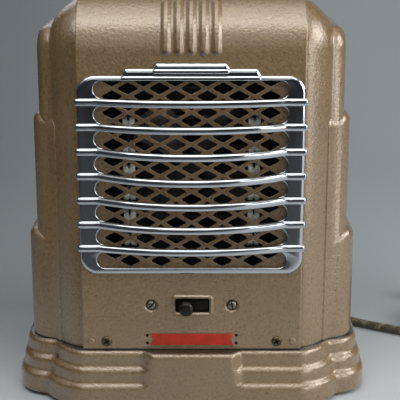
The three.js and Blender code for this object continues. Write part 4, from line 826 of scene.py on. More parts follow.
def front_panel():
    rows, total = panel_path()
    right = [0.5 * i for i in range(87)]
    right += [46, 50, 55, 61, 68, 75, 82, 87, 90, 91.2, 91.6, 91.9, 92.1, PANEL_HALF]
    columns = [-x for x in reversed(right[1:])] + right
    outside, inside = [], []
    for along, y, z, out_y, out_z in rows:
        for x in columns:
            rise = panel_height(x, along, z, total)
            outside.append((x, y + out_y * rise, z + out_z * rise))
            rise = (min(0.0, rise) if 56 < z < 110 else 0.0) - SHEET
            inside.append((x, y + out_y * rise, z + out_z * rise))
    sheet = thick_sheet("panel", outside, inside, len(columns))
    window = rounded(SLOT_HALF + GAP, WINDOW_FOOT, WINDOW_TOP, SLOT_HEIGHT / 2, steps=12)
    half, rise, corner = SWITCH_WINDOW
    switch = rounded(half, SWITCH_Z - rise, SWITCH_Z + rise, corner, SWITCH_X)
    across, up, radius = STRIP_HOLE
    openings = [tidy_loop(window), tidy_loop(switch)]
    openings += [circle(x, STRIP_Z + z, radius, 16) for x in (-across, across) for z in (-up, up)]
    sheet = cut(sheet, *(prism("cutter", loop, FRONT - 4, FRONT + 4) for loop in openings))
    returns = []
    for side in (-1, 1):
        rear = [(-200, 0), (200, 0), (200, 200), (-200, 200)]
        returns.append(cut(
            band(side, PANEL_HALF - SHEET, PANEL_HALF, 0.45, CASE_FOOT, 26),
            band(side, PANEL_HALF - 2, PANEL_HALF + 1, RETURN_DEPTH, CASE_FOOT - 1, 26),
            prism("rear", rear, 0, REAR_SEAM + GAP, "z")))
    return combine(sheet, returns)


piece(front_panel(), "rolled_panel", ENAMEL, "front_panel", angle=46)


def back_panel():
    """The rear sheet, with a louvre blade sloping down into the case behind each slot."""
    outer = rounded(PANEL_HALF, CASE_FOOT, REAR_SEAM, 0.8, steps=2)
    holes, solids = [], []
    for side in (-1, 1):
        inner, outside = side * (PANEL_HALF - SHEET), side * PANEL_HALF
        deep, near = BACK - RETURN_DEPTH, BACK - 0.4
        ring = [(inner, deep), (outside, deep), (outside, near), (inner, near)]
        solids.append(prism("edge", ring, CASE_FOOT, REAR_SEAM, "z"))
    for i in range(VENT_COUNT):
        rise = (i - VENT_COUNT // 2) * VENT_PITCH
        half, z = sqrt(VENT_RADIUS ** 2 - rise ** 2), FAN_Z + rise
        holes.append(rounded(half, z - VENT_HALF, z + VENT_HALF, VENT_HALF - 0.01))
        ring = [(BACK - depth, z + up) for depth, up in LOUVRE]
        solids.append(prism("louvre", ring, -half - 0.5, half + 0.5, "x"))
    holes.append(circle(EXIT_X, EXIT_Z, EXIT_RADIUS, 32))
    edge = [(0, BACK - SHEET), (0, BACK - 0.3), (0.12, BACK - 0.08), (0.4, BACK)]
    lip = ((0, 0.5), (0.3, 1.0), (0.8, 1.2), (1.4, 0.9), (1.9, 0))
    slot = [(0, BACK - SHEET)] + [(out, BACK + rise) for out, rise in lip]
    return combine(profiled_plate("back", outer, holes, edge, slot), solids)


piece(back_panel(), "rear_panel", ENAMEL, "back_panel")

# -------- base

FACE_COLUMNS = [*range(0, 32, 4), 31, 33, 34.5, *range(36, 47), 47.5, 49, 52, 58, 66, 76, 85]
# a full round crest over a soft hollow, as rise over the step and distance out
CREST = [
    (-6.4, 3.68), (-5.0, 3.6), (-3.8, 3.42), (-2.8, 3.15), (-2.0, 2.8), (-1.3, 2.36),
    (-0.7, 1.86), (-0.15, 1.36), (0.4, 0.9), (1.0, 0.5), (1.7, 0.2), (2.6, 0.03), (3.8, 0),
]


def base_plan(offset, z):
    """The casing's outline at a height, moved out by offset."""
    steps, depth = 16, CASE_DEPTH / 2 + offset
    corner = [(PANEL_HALF + (CORNER_RUN + offset) * eased(sine),
               CORNER_FALL * (1 - eased(cosine)) - depth) for sine, cosine in quarter(steps)]
    run, fall = TIERS[-1][:2]
    corner += [(CREASE_HALF + offset + (run + BASE_LOBE) * sine,
                (fall + offset) * (1 - cosine) - CREASE_DEPTH - offset)
               for sine, cosine in quarter(steps, 1)]
    corner = soften(corner, steps - 5, steps + 6, 4)
    right = [(x, -depth) for x in FACE_COLUMNS] + corner
    right += [(x, -y) for x, y in reversed(right)]
    return [(x, y, z) for x, y in right + mirrored(right)[1:-1]]


def base_profile(wall):
    """The stepped side as [height, distance out from the casing's plan], from the foot up."""
    out = BASE_OUT - wall
    profile = [(FOOT_HEIGHT + 2 * BASE_CURL * (1 - cosine), out - BASE_CURL * (1 - sine))
               for sine, cosine in quarter(4)]
    profile += [(9, out), (13, out)]
    for i, level in enumerate(BASE_LEVELS):
        inner, top = (len(BASE_LEVELS) - 1 - i) * BASE_STEP - wall, level - wall
        if level == BASE_TOP:
            profile += [(top - BASE_CREST * (1 - sine), inner + BASE_STEP * cosine)
                        for sine, cosine in quarter(8)]
        else:
            profile += [(top + rise, inner + out_by) for rise, out_by in CREST]
    return profile


def tablet_reach(x, z, wall):
    """The y of the smooth tablet's face at a height, and how strongly it takes over there."""
    part = clamp((z - FOOT_HEIGHT) / (BASE_TOP - FOOT_HEIGHT))
    half = TABLET_HALF - TABLET_TAPER * part - wall
    low = clamp((z - FOOT_HEIGHT) / (2 * BASE_CURL))
    curl = 0 if wall else BASE_CURL * (1 - sin(low * pi / 2))
    over = clamp((z - (BASE_TOP - wall - TABLET_ROLL)) / TABLET_ROLL)
    bend = TABLET_ROLL * (1 - sqrt(1 - over ** 2))
    share = 1 - smooth((abs(x) - (half - 4)) / TABLET_BLEND)
    return FRONT - BASE_OUT + wall + curl + bend, share


def stepped_base():
    def body(wall):
        rings = []
        for z, offset in base_profile(wall):
            ring = []
            for x, y, height in base_plan(offset, z):
                if y < FRONT + 10 and abs(x) < 60:
                    face, share = tablet_reach(x, z, wall)
                    y += (min(face, y) - y) * share
                ring.append((x, y, height))
            rings.append(ring)
        return loft("skirt", rings)

    rim, wide = FOOT_HEIGHT + BASE_WALL, 200
    square = [(wide, -wide), (wide, wide), (-wide, wide), (-wide, -wide)]
    hollow = cut(body(BASE_WALL), prism("below", square, 0, rim, "z"))
    inner = BASE_OUT - BASE_CURL - BASE_RIM
    mouth = loft("mouth", [base_plan(inner, z) for z in (FOOT_HEIGHT - 1, rim + 1)])
    return cut(body(0), hollow, mouth)


piece(stepped_base(), "stepped_base", ENAMEL, "base_skirt", angle=38)

FOOT_PROFILE = [
    (0, 0), (6.4, 0), (6.9, 0.25), (7.45, 2.3), (7.3, 2.7), (3, 2.7), (3, 4.5), (4.5, 4.5),
    (4.1, 5.4), (0, 6.5),
]
for name in ("front_left", "rear_left", "front_right", "rear_right"):
    low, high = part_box(f"foot_{name}")
    middle = ((low.x + high.x) / 2 / MM, (low.y + high.y) / 2 / MM - SHIFT_Y, 0)
    foot = lathe("foot", FOOT_PROFILE, 32, middle, "z")
    piece(foot, f"rubber_foot_{name}", RUBBER, f"foot_{name}")

# -------- grille and screen

# a bar's upper and lower flanks, its upright face and the lip under it, as [rise, distance out]
BAR_SECTION = [
    (3.1, 0), (3.1, 0.4), (3.02, 1.0), (2.86, 1.7), (2.62, 2.25), (2.2, 2.7), (1.75, 2.98),
    (1.4, 3.14), (1.2, 3.2), (1.05, 3.22), (-0.75, 3.22), (-0.88, 3.2), (-1.02, 3.05),
    (-1.06, 2.4), (-1.16, 2.25), (-1.3, 2.2), (-2.3, 1.98), (-2.85, 1.75), (-3.1, 1.3), (-3.1, 0),
]
BEAD_SECTION = [
    (1.9, 0.2), (1.75, -0.5), (1.4, -1.1), (0.9, -1.42), (0.6, -1.5), (0.45, -1.52),
    (-0.9, -1.52), (-1.05, -1.5), (-1.6, -1.1), (-1.9, 0.2),
]


def grille_outline():
    riser, level = [], GRILLE_TOP  # right-hand side, from the shoulder up
    for step_half, rise in GRILLE_STEPS:
        foot, top = step_half + rise / 2 + 1.0, step_half - 0.9
        riser += [(foot + (top - foot) * i / 8, level + rise * smooth(i / 8)) for i in range(9)]
        level += rise
    corner = GRILLE_CORNER
    side, high, low = GRILLE_HALF - corner, GRILLE_TOP - corner, GRILLE_FOOT + corner
    return (arc(side, high, corner, 0, 1, 12) + riser + mirrored(riser)
            + arc(-side, high, corner, 1, 2, 12) + arc(-side, low, corner, 2, 3, 12)
            + arc(side, low, corner, 3, 4, 12))


def grille_opening():
    """The one opening behind the bars, with a round bay between each two bars at its sides."""
    radius = SLOT_HEIGHT / 2
    right = []
    for i in reversed(range(len(BAR_BOWS) + 1)):
        z = BAR_TOP_Z + BAR_PITCH / 2 - i * BAR_PITCH
        right += arc(SLOT_HALF - radius, z, radius, -1, 1, 18)
    return right + mirrored(right)


def grille_bar(z, reach):
    ends = ((0, 0.55), (0.35, 0.8), (1.0, 0.95), (2.0, 1.0), (BAR_HALF - BOW_HALF - 3, 1.0))
    left = [(-BAR_HALF + inward, scale) for inward, scale in ends]
    stations = left + [(BOW_HALF * i / 24, 1.0) for i in range(-24, 25)] + mirrored(left)
    rings = []
    for x, scale in stations:
        forward = GRILLE_BACK - BAR_SEAT - reach * (1 - min(1.0, abs(x) / BOW_HALF) ** BOW_POWER)
        rings.append([(x, forward - out * scale, z + up * scale) for up, out in BAR_SECTION])
    return loft("bar", rings)


def terrace(half, z):
    """A bead straight across the plate, where the next step of its top begins."""
    left = [(-half, 0.5), (-half + 0.8, 0.85), (-half + 2, 1)]
    rings = []
    for x, scale in left + mirrored(left):
        rings.append([(x, GRILLE_FACE + out * (scale if out < 0 else 1), z - BEAD_HALF + up * scale)
                      for up, out in BEAD_SECTION])
    return loft("terrace", rings)


def chrome_grille():
    edge = soft_edge(GRILLE_FACE, GRILLE_BACK, *EDGE_ROLL, 10)
    rim = soft_edge(GRILLE_FACE, GRILLE_BACK, 0.8, 0.8, 4)
    parts = [profiled_plate("plate", grille_outline(), [grille_opening()], edge, rim)]
    level = GRILLE_TOP
    for step_half, rise in GRILLE_STEPS:
        parts.append(terrace(step_half + rise / 2, level))
        level += rise
    parts += [grille_bar(BAR_TOP_Z - i * BAR_PITCH, reach) for i, reach in enumerate(BAR_BOWS)]
    return join("grille", parts)


piece(chrome_grille(), "bowed_grille", CHROME, "chrome_grille", angle=50)


def diamond(x, z):
    """A diamond with blunt round sides and tighter ends, anticlockwise."""
    half_x, half_z = DIAMOND_HALF
    steps = 4
    lean = atan2(half_x, half_z)
    ends = ((half_x, 1.2, cos(lean), lean), (half_z, 0.5, sin(lean), pi / 2 - lean))
    loop = []
    for corner in range(4):
        half, radius, slope, spread = ends[corner % 2]
        centre = half + radius * (1 / slope - 1) * 0.35 - radius / slope
        middle = corner * pi / 2
        cx, cz = x + centre * cos(middle), z + centre * sin(middle)
        for i in range(steps + 1):
            turn = middle + spread * (2 * i / steps - 1)
            loop.append((cx + radius * cos(turn), cz + radius * sin(turn)))
    return loop


def lattice():
    outer = rounded(SLOT_HALF + GAP + 1.8, WINDOW_FOOT - 6, WINDOW_TOP + 6, 0.5, steps=1)
    holes = []
    for row in range(DIAMOND_ROWS):
        count = 6 - row % 2
        z = DIAMOND_TOP - row * DIAMOND_UP / 2
        holes += [diamond((i - (count - 1) / 2) * DIAMOND_ACROSS, z) for i in range(count)]
    edge = [(0, BEHIND + SHEET), (0, BEHIND)]
    lip = ((0, SHEET), (0, 0.4), (0.08, 0.15), (0.28, 0.03), (0.45, 0))
    return profiled_plate("lattice", outer, holes, edge, [(a, BEHIND + b) for a, b in lip])


SHADED = hammered_enamel("bronze_in_shade", 0.28)
piece(lattice(), "lattice_screen", SHADED, "diamond_screen")


def enamel_strip():
    half, point, low, high = STRIP_HALF, 2.5, STRIP_Z - STRIP_RISE, STRIP_Z + STRIP_RISE
    outer = [(half - point, STRIP_Z), (half, high), (-half, high), (point - half, STRIP_Z),
             (-half, low), (half, low)]
    back = FRONT - GAP
    return profiled_plate("strip", outer, [], soft_edge(back - 0.8, back, 0.3, 0.3, 3), [])


piece(enamel_strip(), "bare_strip", RED, "name_strip")

# -------- switch and fasteners

SLOT = 12.0  # longer than a head is wide
CROSS = [(5.4, radians(28)), (5.4, radians(118))]
SLOTTED_HEAD = 3.7
SCREW_INSET = 26  # of the rear screws, from the sheet's foot and top
CROWN = 1.8
CROSS_HEAD = 4.35
RIVET_PROFILE = [
    (0, 3.8), (2.3, 3.5), (2.3, 2.6), (1.5, 2.6), (1.5, 0), (3, 0), (2.85, -0.45),
    (2.3, -0.85), (1.3, -1.05), (0, -1.1),
]


def slotted(made, x, crown, z, cuts, flip):
    """Cuts straight slots of [length, angle] into a head, in from its crown."""
    blades = []
    for length, angle in cuts:
        along, up = cos(angle), sin(angle)
        corners = [(sx * length / 2, sz * 0.6) for sx, sz in ((1, -1), (1, 1), (-1, 1), (-1, -1))]
        ring = [(x + along * a - up * b, z + up * a + along * b) for a, b in corners]
        blades.append(prism("blade", ring, crown - flip, crown + flip * 1.4))
    return cut(made, *blades)


def screw(name, x, z, head, cuts, material, rear=False, sunk=0.0):
    flip = -1 if rear else 1
    seat = BACK + GAP if rear else FRONT - GAP + sunk
    dome = ((1, -0.45), (0.94, -0.9), (0.8, -1.3), (0.55, -1.62), (0.28, -1.77), (0, -CROWN))
    profile = [(0, 7), (2, 7), (2, 0), (head, 0)] + [(head * wide, rise) for wide, rise in dome]
    made = lathe("screw", profile, 40, (x, seat, z), "y", flip)
    made = slotted(made, x, seat - flip * CROWN, z, cuts, flip)
    piece(made, f"turned_{name}", material, name)
    floor = (seat - flip * 0.4 + SHIFT_Y) * MM

    def in_slot(face):
        middle = face.center
        deep = (middle.y - floor) * flip > -0.0011
        inside = hypot(middle.x - x * MM, middle.z - z * MM) < head * 0.86 * MM
        return deep and inside and (abs(face.normal.y) < 0.3 or abs(middle.y - floor) < 0.0003)

    # painted shade inside the slot
    blacken(made, in_slot)


for side, name, degrees in ((-1, "left", 45), (1, "right", 102)):
    slot = [(SLOT, radians(degrees))]
    screw(f"switch_screw_{name}", side * SWITCH_SCREW_X, SWITCH_Z, SLOTTED_HEAD, slot, SCREW,
          sunk=1.2)
    screw(f"panel_screw_{name}", side * PANEL_SCREW_X, PANEL_SCREW_Z, CROSS_HEAD, CROSS,
          PANEL_SCREW)
    for level, z in (("lower", CASE_FOOT + SCREW_INSET), ("upper", REAR_SEAM - SCREW_INSET)):
        screw(f"back_screw_{level}_{name}", side * RIVET_X, z, SLOTTED_HEAD, slot, SCREW, True)
    rivet = lathe("rivet", RIVET_PROFILE, 32, (side * RIVET_X, FRONT - GAP, PANEL_SCREW_Z))
    piece(rivet, f"domed_rivet_{name}", ENAMEL, f"panel_rivet_{name}")


def switch_knob():
    back, tip = BEHIND + GAP, FRONT - KNOB_REACH
    outer = rounded(SLIDE_HALF, SWITCH_Z - SLIDE_RISE, SWITCH_Z + SLIDE_RISE, 0.8, KNOB_X, 2)
    edge = soft_edge(back, back + SLIDE_DEPTH, 0.3, 0.3, 2)
    slab = profiled_plate("slide", outer, [], edge, [])
    stem = [(0, back + 0.8), (3.6, back + 0.8), (3.2, back - 0.6)]
    head = ((3.2, 7.1), (4.1, 6.6), (5.2, 6.3), (5.8, 5.7), (6, 4.8), (6, 2), (5.75, 1.2),
            (5.0, 0.5), (3.6, 0.1), (0, 0))
    profile = stem + [(radius, tip + rise) for radius, rise in head]
    made = combine(slab, [lathe("knob", profile, 44, (KNOB_X, 0, SWITCH_Z))])
    ridges = []
    for i in range(7):
        left, right = 3.85 + 1.5 * i, 4.55 + 1.5 * i
        low, high = SWITCH_Z - 3.6, SWITCH_Z + 3.6
        ring = [(left, low), (right, low), (right, high), (left, high)]
        ridges.append(prism("ridge", ring, back - 0.5, back + 0.5))
    return combine(made, ridges)


slide = piece(switch_knob(), "sliding_knob", BAKELITE, "switch_slide", "slide")
slide_face = (BEHIND + GAP - 0.05 + SHIFT_Y) * MM
# painted shade on the slide's plate seen through the switch window
blacken(slide, lambda face: face.center.y > slide_face)

# -------- fan, ring and element

HUB_PROFILE = [
    (0, -7), (7.7, -7), (9.6, -6.2), (10.6, -5), (11, -4), (11, 7), (3.3, 7), (3.3, 6), (0, 6),
]
# radii of a blade's root, tip and furthest corner, and its half width, swell, twist and camber
BLADE_ROOT, BLADE_TIP, BLADE_REACH = 6.5, 60.0, 59.5
BLADE_HALF, LEAD_SWELL, TRAIL_SWELL = 8.5, 13, 14
BLADE_TWIST, TWIST_EASE, BLADE_CAMBER = 0.62, 0.25, 1.6
TIP_START, TIP_ROUND, CORNER_START, CORNER_TRIM = 0.8, 60, 0.7, 0.16
RING_PROFILE = [
    (63.7, -19), (63.7, -45.6), (64.0, -46.0), (64.7, -46.3), (69, -46.3), (69.5, -46.0),
    (69.7, -45.6), (69.4, -45.3), (65.2, -45.3), (64.7, -45.0), (64.7, -19), (63.7, -19),
]
BUSHING_PROFILE = [
    (2.9, -4.6), (3.3, -5), (5.1, -5), (5.5, -4.5), (5.5, -1.2), (5.1, -0.8), (4, -0.8),
    (4, 0.8), (5.1, 0.8), (5.5, 1.2), (5.5, 4.5), (5.1, 5), (3.3, 5), (2.9, 4.6), (2.9, -4.6),
]


def fan_blade(spin):
    radial, across = 12, 10

    def face_points(face):
        points = []
        for i in range(radial + 1):
            out = i / radial
            past = max(0.0, out - TIP_START)
            lead = (-BLADE_HALF - LEAD_SWELL * sin(pi * min(1, out * 0.75))
                    + TIP_ROUND * past * (out - TIP_START))
            trail = BLADE_HALF + TRAIL_SWELL * out ** 1.4
            twist = BLADE_TWIST - TWIST_EASE * out
            for j in range(across + 1):
                side = j / across
                shrink = CORNER_TRIM * max(0.0, out - CORNER_START) / 0.3 * (2 * abs(side - 0.45)) ** 2
                radius = (BLADE_ROOT + (BLADE_TIP - BLADE_ROOT) * out) * (1 - shrink)
                wide = lead + (trail - lead) * side
                camber = BLADE_CAMBER * sin(pi * side)
                forward = -wide * sin(twist) - camber + face
                flat = wide * cos(twist)
                px = radius * cos(spin) - flat * sin(spin)
                pz = radius * sin(spin) + flat * cos(spin)
                limit = min(1.0, BLADE_REACH / max(hypot(px, pz), 1e-6))
                points.append((px * limit, FAN_Y + forward, FAN_Z + pz * limit))
        return points

    return thick_sheet("blade", face_points(-0.5), face_points(0.5), across + 1)


hub = lathe("hub", HUB_PROFILE, 40, (0, FAN_Y, FAN_Z))
wheel = join("fan", [hub] + [fan_blade(pi / 2 * i + pi / 4) for i in range(4)])
piece(wheel, "fan_wheel", FAN_METAL, "fan", "fan_rotor")
ring = lathe("ring", RING_PROFILE, 96, (0, 0, FAN_Z))
piece(ring, "rolled_ring", RING_STEEL, "fan_ring")
for side, name in ((-1, "left"), (1, "right")):
    for i, z in enumerate(RUNS, 1):
        made = lathe("bushing", BUSHING_PROFILE, 28, (side * RAIL_X, RUN_Y, z), "x")
        piece(made, f"porcelain_{name}_{i}", PORCELAIN, f"bushing_{name}_{i}")


def element_path():
    """The element's centre line, in short steps."""
    straight, radius, count, bends = RAIL_X + 6, RUN_PITCH / 2, 58, 16
    points = []
    for i, z in enumerate(RUNS):
        side = 1 if i % 2 == 0 else -1
        points += [(side * (-straight + 2 * straight * j / count), z) for j in range(count)]
        if i < len(RUNS) - 1:
            turns = [pi * (j / bends - 0.5) for j in range(bends)]
            points += [(side * (straight + radius * cos(turn)), z + radius + radius * sin(turn))
                       for turn in turns]
        else:
            points.append((side * straight, z))
    return points


def run_length(path):
    """The length along a path at each of its points."""
    steps = np.linalg.norm(np.diff(path, axis=0), axis=1)
    return np.concatenate([[0], np.cumsum(steps)])


def tangents(path):
    along = np.gradient(path, axis=0)
    return along / np.linalg.norm(along, axis=1)[:, None]


def tube(name, path, radius, sides, uv=False):
    """A tube along points in millimetres, with length and girth as its UV map."""
    path = np.array(path, float)
    tangent = tangents(path)
    normal = np.cross(tangent[0], (0.13, 0.21, 1.0))
    rings = []
    for at, along in zip(path, tangent):
        normal = normal - along * normal.dot(along)
        normal /= np.linalg.norm(normal)
        across = np.cross(along, normal)
        rings.append([tuple(at + radius * (cos(t) * normal + sin(t) * across))
                      for t in (2 * pi * i / sides for i in range(sides))])
    points, faces = skin(rings)
    mesh = bpy.data.meshes.new(name)
    mesh.from_pydata([metres(point) for point in points], [], faces)
    if uv:
        length = run_length(path) * MM
        layer = mesh.uv_layers.new(name="braid")
        for polygon in mesh.polygons:
            last = any(v % sides == sides - 1 for v in polygon.vertices)
            closing = last and len(polygon.vertices) == 4
            for corner, loop in zip(polygon.vertices, polygon.loop_indices):
                row, column = divmod(corner, sides)
                turn = 1.0 if closing and column == 0 else column / sides
                layer.data[loop].uv = (length[row], turn)
    return add_object(name, mesh)


def helix():
    """Fine resistance wire wound on the element's centre line."""
    line = np.array([(x, RUN_Y, z) for x, z in element_path()], float)
    length = run_length(line)
    spots = np.linspace(0, length[-1], int(length[-1] / WIRE_PITCH * WIRE_STEPS))
    centre = np.stack([np.interp(spots, length, line[:, n]) for n in range(3)], 1)
    tangent = tangents(centre)
    upward = np.stack([-tangent[:, 2], np.zeros(len(spots)), tangent[:, 0]], 1)
    turn = (spots / WIRE_PITCH * 2 * pi)[:, None]
    wound = centre + WINDING_RADIUS * (np.cos(turn) * upward + np.sin(turn) * np.array([0, 1, 0]))
    return tube("helix", wound, WIRE_RADIUS, 4)


piece(helix(), "element_helix", NICHROME, "heating_element", angle=80)

# -------- cord

PLUG_PROFILE = [
    (0, 0), (5.2, 0), (6, 0.6), (6.2, 3), (6.8, 8), (8.6, 11), (11.3, 13.2), (12.8, 14.8),
    (13.4, 16.6), (13.5, 18), (13.5, 29.4), (13.1, 30.8), (12, 31.7), (10.5, 32), (0, 32),
]


def spline(points, steps):
    """A smooth curve through the points, with spacing taken into account."""
    points = np.array(points, float)
    gaps = np.sqrt(np.linalg.norm(np.diff(points, axis=0), axis=1))
    rates = np.diff(points, axis=0) / gaps[:, None]
    wide = (points[2:] - points[:-2]) / (gaps[1:] + gaps[:-1])[:, None]
    slopes = np.concatenate([rates[:1], rates[:-1] + rates[1:] - wide, rates[-1:]])
    curve = []
    for i, span in enumerate(gaps):
        for j in range(steps):
            t = j / steps
            curve.append((2 * t ** 3 - 3 * t ** 2 + 1) * points[i]
                         + (t ** 3 - 2 * t ** 2 + t) * span * slopes[i]
                         + (3 * t ** 2 - 2 * t ** 3) * points[i + 1]
                         + (t ** 3 - t ** 2) * span * slopes[i + 1])
    return curve + [points[-1]]


def coil_point(part):
    """A place on the flat coil: wound in on the lower layer, and out again on the upper one."""
    lead, tail, floor, layer = 8, 30, 5.3, 8.6
    winding = COIL_TURNS * 2 * pi * (COIL_INNER + COIL_TURNS * COIL_PITCH / 4)
    along = part * (lead + winding + tail) - lead
    turns = COIL_TURNS * clamp(along / winding)
    away = along if along < 0 else max(0.0, along - winding)
    angle = -2 * pi / 3 + turns * 2 * pi
    radius = COIL_INNER + COIL_PITCH * abs(turns - COIL_TURNS / 2)
    lift = floor + layer * smooth(2 * (turns - COIL_TURNS / 2) + 0.5)
    return (COIL_CENTRE[0] + radius * cos(angle) - away * sin(angle),
            COIL_CENTRE[1] + radius * sin(angle) + away * cos(angle), lift)


coil = [coil_point(i / 420) for i in range(421)]
cord_path = spline(CORD_ROUTE, 7) + [np.array(point) for point in coil[2:]]
cord = tube("cord", cord_path, CORD_RADIUS, 18, uv=True)
cord.name = "cloth_cord"
cord.data.shade_smooth()
cord.data.materials.append(BRAID)
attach(cord, "case")
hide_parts("power_cord", "cord_coil")

end, before = np.array(coil[-1]), np.array(coil[-2])
heading = (end - before) / np.linalg.norm(end - before)
plug = lathe("plug", PLUG_PROFILE, 48, (0, -SHIFT_Y, 0))
plug.data.transform(Matrix.Translation(Vector(metres(end)) + Vector(heading) * GAP * MM)
                    @ Matrix.Rotation(atan2(heading[1], heading[0]) - pi / 2, 4, "Z"))
piece(plug, "moulded_plug", PLUG_RUBBER, "plug_body")

low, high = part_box("cord_tie")
tie_low, tie_high = low / MM, high / MM
middle_x, half_x = (low.x + high.x) / 2 / MM, (high.x - low.x) / 2 / MM
tie_outer = rounded(half_x, tie_low.z, tie_high.z, 3.2, middle_x, 6)
tie_inner = inset(tidy_loop(tie_outer), 0.9)
tie_front, tie_back = tie_low.y - SHIFT_Y, tie_high.y - SHIFT_Y
tie_edge = [(0.25, tie_back), (0, tie_back - 0.3), (0, tie_front + 0.3), (0.25, tie_front)]
tie = profiled_plate("tie", tie_outer, [tie_inner], tie_edge, [(0, tie_back), (0, tie_front)])
piece(tie, "cotton_tie", TAPE, "cord_tie")


def strain_relief():
    """A collar on the rear sheet and a tapered sleeve with seven ribs."""
    start, stop, first = BACK - SHEET - 4, BACK + RELIEF_LENGTH, BACK + 4.2
    profile = [(0, start), (6.1, start), (6.5, start + 0.5), (6.5, BACK + GAP), (8.5, BACK + GAP),
               (8.5, BACK + 2.4), (8.1, BACK + 3.2), (7.4, BACK + 3.6)]
    count = 7
    pitch = (stop - first) / count
    for i in range(count):
        at, wide = first + pitch * i, 7.5 - 2.2 * i / count
        profile += [(wide, at), (wide, at + pitch * 0.45), (wide - 0.8, at + pitch * 0.6),
                    (wide - 0.8, at + pitch * 0.85)]
    profile += [(5.2, stop - 0.4), (4.9, stop), (0, stop)]
    return lathe("relief", profile, 36, (EXIT_X, 0, EXIT_Z))


piece(strain_relief(), "ribbed_relief", RUBBER, "strain_relief")

# -------- finishes on the pieces that keep their CAD form

KEPT = {
    BLACK_STEEL: ("baffle_plate", "element_rail_left", "element_rail_right", "motor_strap"),
    BAKELITE: ("switch_body",),
    MOTOR_STEEL: ("motor_stator", "bearing_front", "bearing_rear", "motor_shaft"),
    COPPER: ("motor_winding",),
    PORCELAIN: ("terminal_block",),
    SLEEVE: ("lead_supply", "lead_motor"),
    BRASS: ("plug_prong_left", "plug_prong_right"),
}
for material, names in KEPT.items():
    for name in names:
        cad[name].data.materials.clear()
        cad[name].data.materials.append(material)

# -------- floor, backdrop, world and lamps, in metres

BACKDROP = (0.3, 0.315, 0.33, 1)
DARK_CARD = srgb(60, 63, 67)
WALL_Y = 1.65
BEND_RADIUS = 0.9
STAGE_ROWS = [(-6.0, 0.0), (-2.6, 0.0), (-1.2, 0.0), (0.0, 0.0), (0.55, 0.0)]
STAGE_ROWS += [(WALL_Y - BEND_RADIUS * (1 - sine), BEND_RADIUS * (1 - cosine))
               for sine, cosine in quarter(16)]
STAGE_ROWS += [(WALL_Y, 1.6), (WALL_Y, 3.4)]
STAGE_COLUMNS = [-6.0 + 0.8 * i for i in range(16)]


def stage_material():
    """A matt sweep that shades from one grey to another, paler on the floor and at the right: painted
    light and shade. Its front reflects as a dark card.
    """
    paint = Paint("studio_grey", Roughness=0.9)
    x, y, _ = paint.axes()
    # painted light and shade: the wall darker at the left and further up, the floor evenly pale
    across = paint.span(x, -0.35, 0.35)
    lower = paint.mix(across, srgb(195, 201, 205), srgb(195, 200, 205))
    upper = paint.mix(across, srgb(132, 139, 143), srgb(170, 178, 182))
    colour = paint.mix(paint.span(y, -0.03, 0.16), lower, upper)
    front = paint.span(paint.math("ADD", y, paint.math("MULTIPLY", x, 0.6)), -0.3, -0.5)
    card = paint.math("MAXIMUM", front, paint.span(x, -0.3, -0.8))
    shaded = paint.math("MULTIPLY", paint.ray("Glossy"), card)
    # far from the heater the sweep fades into the plain backdrop
    beside = paint.span(paint.math("ABSOLUTE", x), 0.65, 1.4)
    distant = paint.math("MAXIMUM", beside, paint.span(y, -0.45, -1.15))
    plain = paint.add("ShaderNodeEmission", {"Color": BACKDROP}).outputs[0]
    inputs = {0: paint.math("MULTIPLY", paint.ray("Camera"), distant),
              1: paint.shader.outputs[0], 2: plain}
    fade = paint.add("ShaderNodeMixShader", inputs).outputs[0]
    paint.feed(paint.tree.nodes["Material Output"].inputs["Surface"], fade)
    return paint.finish(Base_Color=paint.mix(shaded, colour, DARK_CARD))


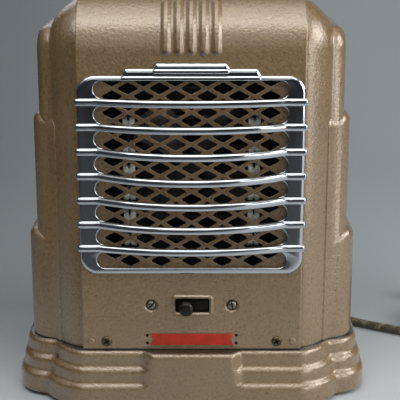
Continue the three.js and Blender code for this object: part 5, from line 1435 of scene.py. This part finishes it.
def sweep():
    """Floor and wall in one sheet, with a wide bend between them."""
    wide = len(STAGE_COLUMNS)
    points = [(x, y, z) for y, z in STAGE_ROWS for x in STAGE_COLUMNS]
    corners = [row * wide + i for row in range(len(STAGE_ROWS) - 1) for i in range(wide - 1)]
    mesh = bpy.data.meshes.new("sweep")
    mesh.from_pydata(points, [], [(a, a + 1, a + wide + 1, a + wide) for a in corners])
    mesh.shade_smooth()
    mesh.materials.append(stage_material())
    made = add_object("studio_sweep", mesh)


sweep()


def studio_world():
    """Even light, a plain backdrop for the camera, and a bright sky for reflections."""
    world = bpy.data.worlds.new("studio")
    bpy.context.scene.world = world
    world.use_nodes = True
    nodes = Nodes(world.node_tree, "Generated")
    height = nodes.span(nodes.axes()[2], -1, 1)
    ramp = nodes.add("ShaderNodeValToRGB", {0: height})
    low, high = ramp.color_ramp.elements
    low.position, low.color = 0.50, (0.02, 0.022, 0.026, 1)
    high.position, high.color = 0.86, (0.6, 0.61, 0.63, 1)
    ramp.color_ramp.elements.new(0.66).color = (0.05, 0.055, 0.062, 1)
    light = nodes.mix(nodes.ray("Glossy"), (0.06, 0.063, 0.067, 1), ramp.outputs[0])
    seen = nodes.mix(nodes.ray("Camera"), light, BACKDROP)
    nodes.feed(nodes.tree.nodes["Background"].inputs["Color"], seen)


studio_world()

AIM = Vector((0, -0.02, 0.18))
WARM, WARMER, WHITE = (1.0, 0.99, 0.97), (1.0, 0.985, 0.96), (1, 1, 1)
for name, size, power, location, colour in (
        ("overhead_front", (1.7, 0.5), 8.6, (-0.05, -0.64, 1.22), WARM),
        ("overhead", (1.3, 0.6), 3.8, (0, -0.15, 1.67), WARM),
        ("right_side", (0.75, 0.75), 10.3, (1.34, -0.26, 0.81), WARMER),
        ("right_low", (0.75, 0.75), 5.6, (1.14, -0.98, 0.34), WARMER),
        ("front_fill", (0.75, 0.75), 1.2, (-0.1, -1.4, 0.75), WHITE),
        ("rear_fill", (1.2, 0.9), 3.0, (-0.3, 1.25, 0.95), WHITE)):
    data = bpy.data.lights.new(name, "AREA")
    data.shape = "RECTANGLE"
    data.size, data.size_y = size
    data.energy, data.color = power, colour
    lamp = add_object(name, data)
    lamp.location = location
    lamp.rotation_mode = "QUATERNION"
    lamp.rotation_quaternion = (AIM - Vector(location)).to_track_quat("-Z", "Y")

scene = bpy.context.scene
scene.view_settings.view_transform = "Standard"
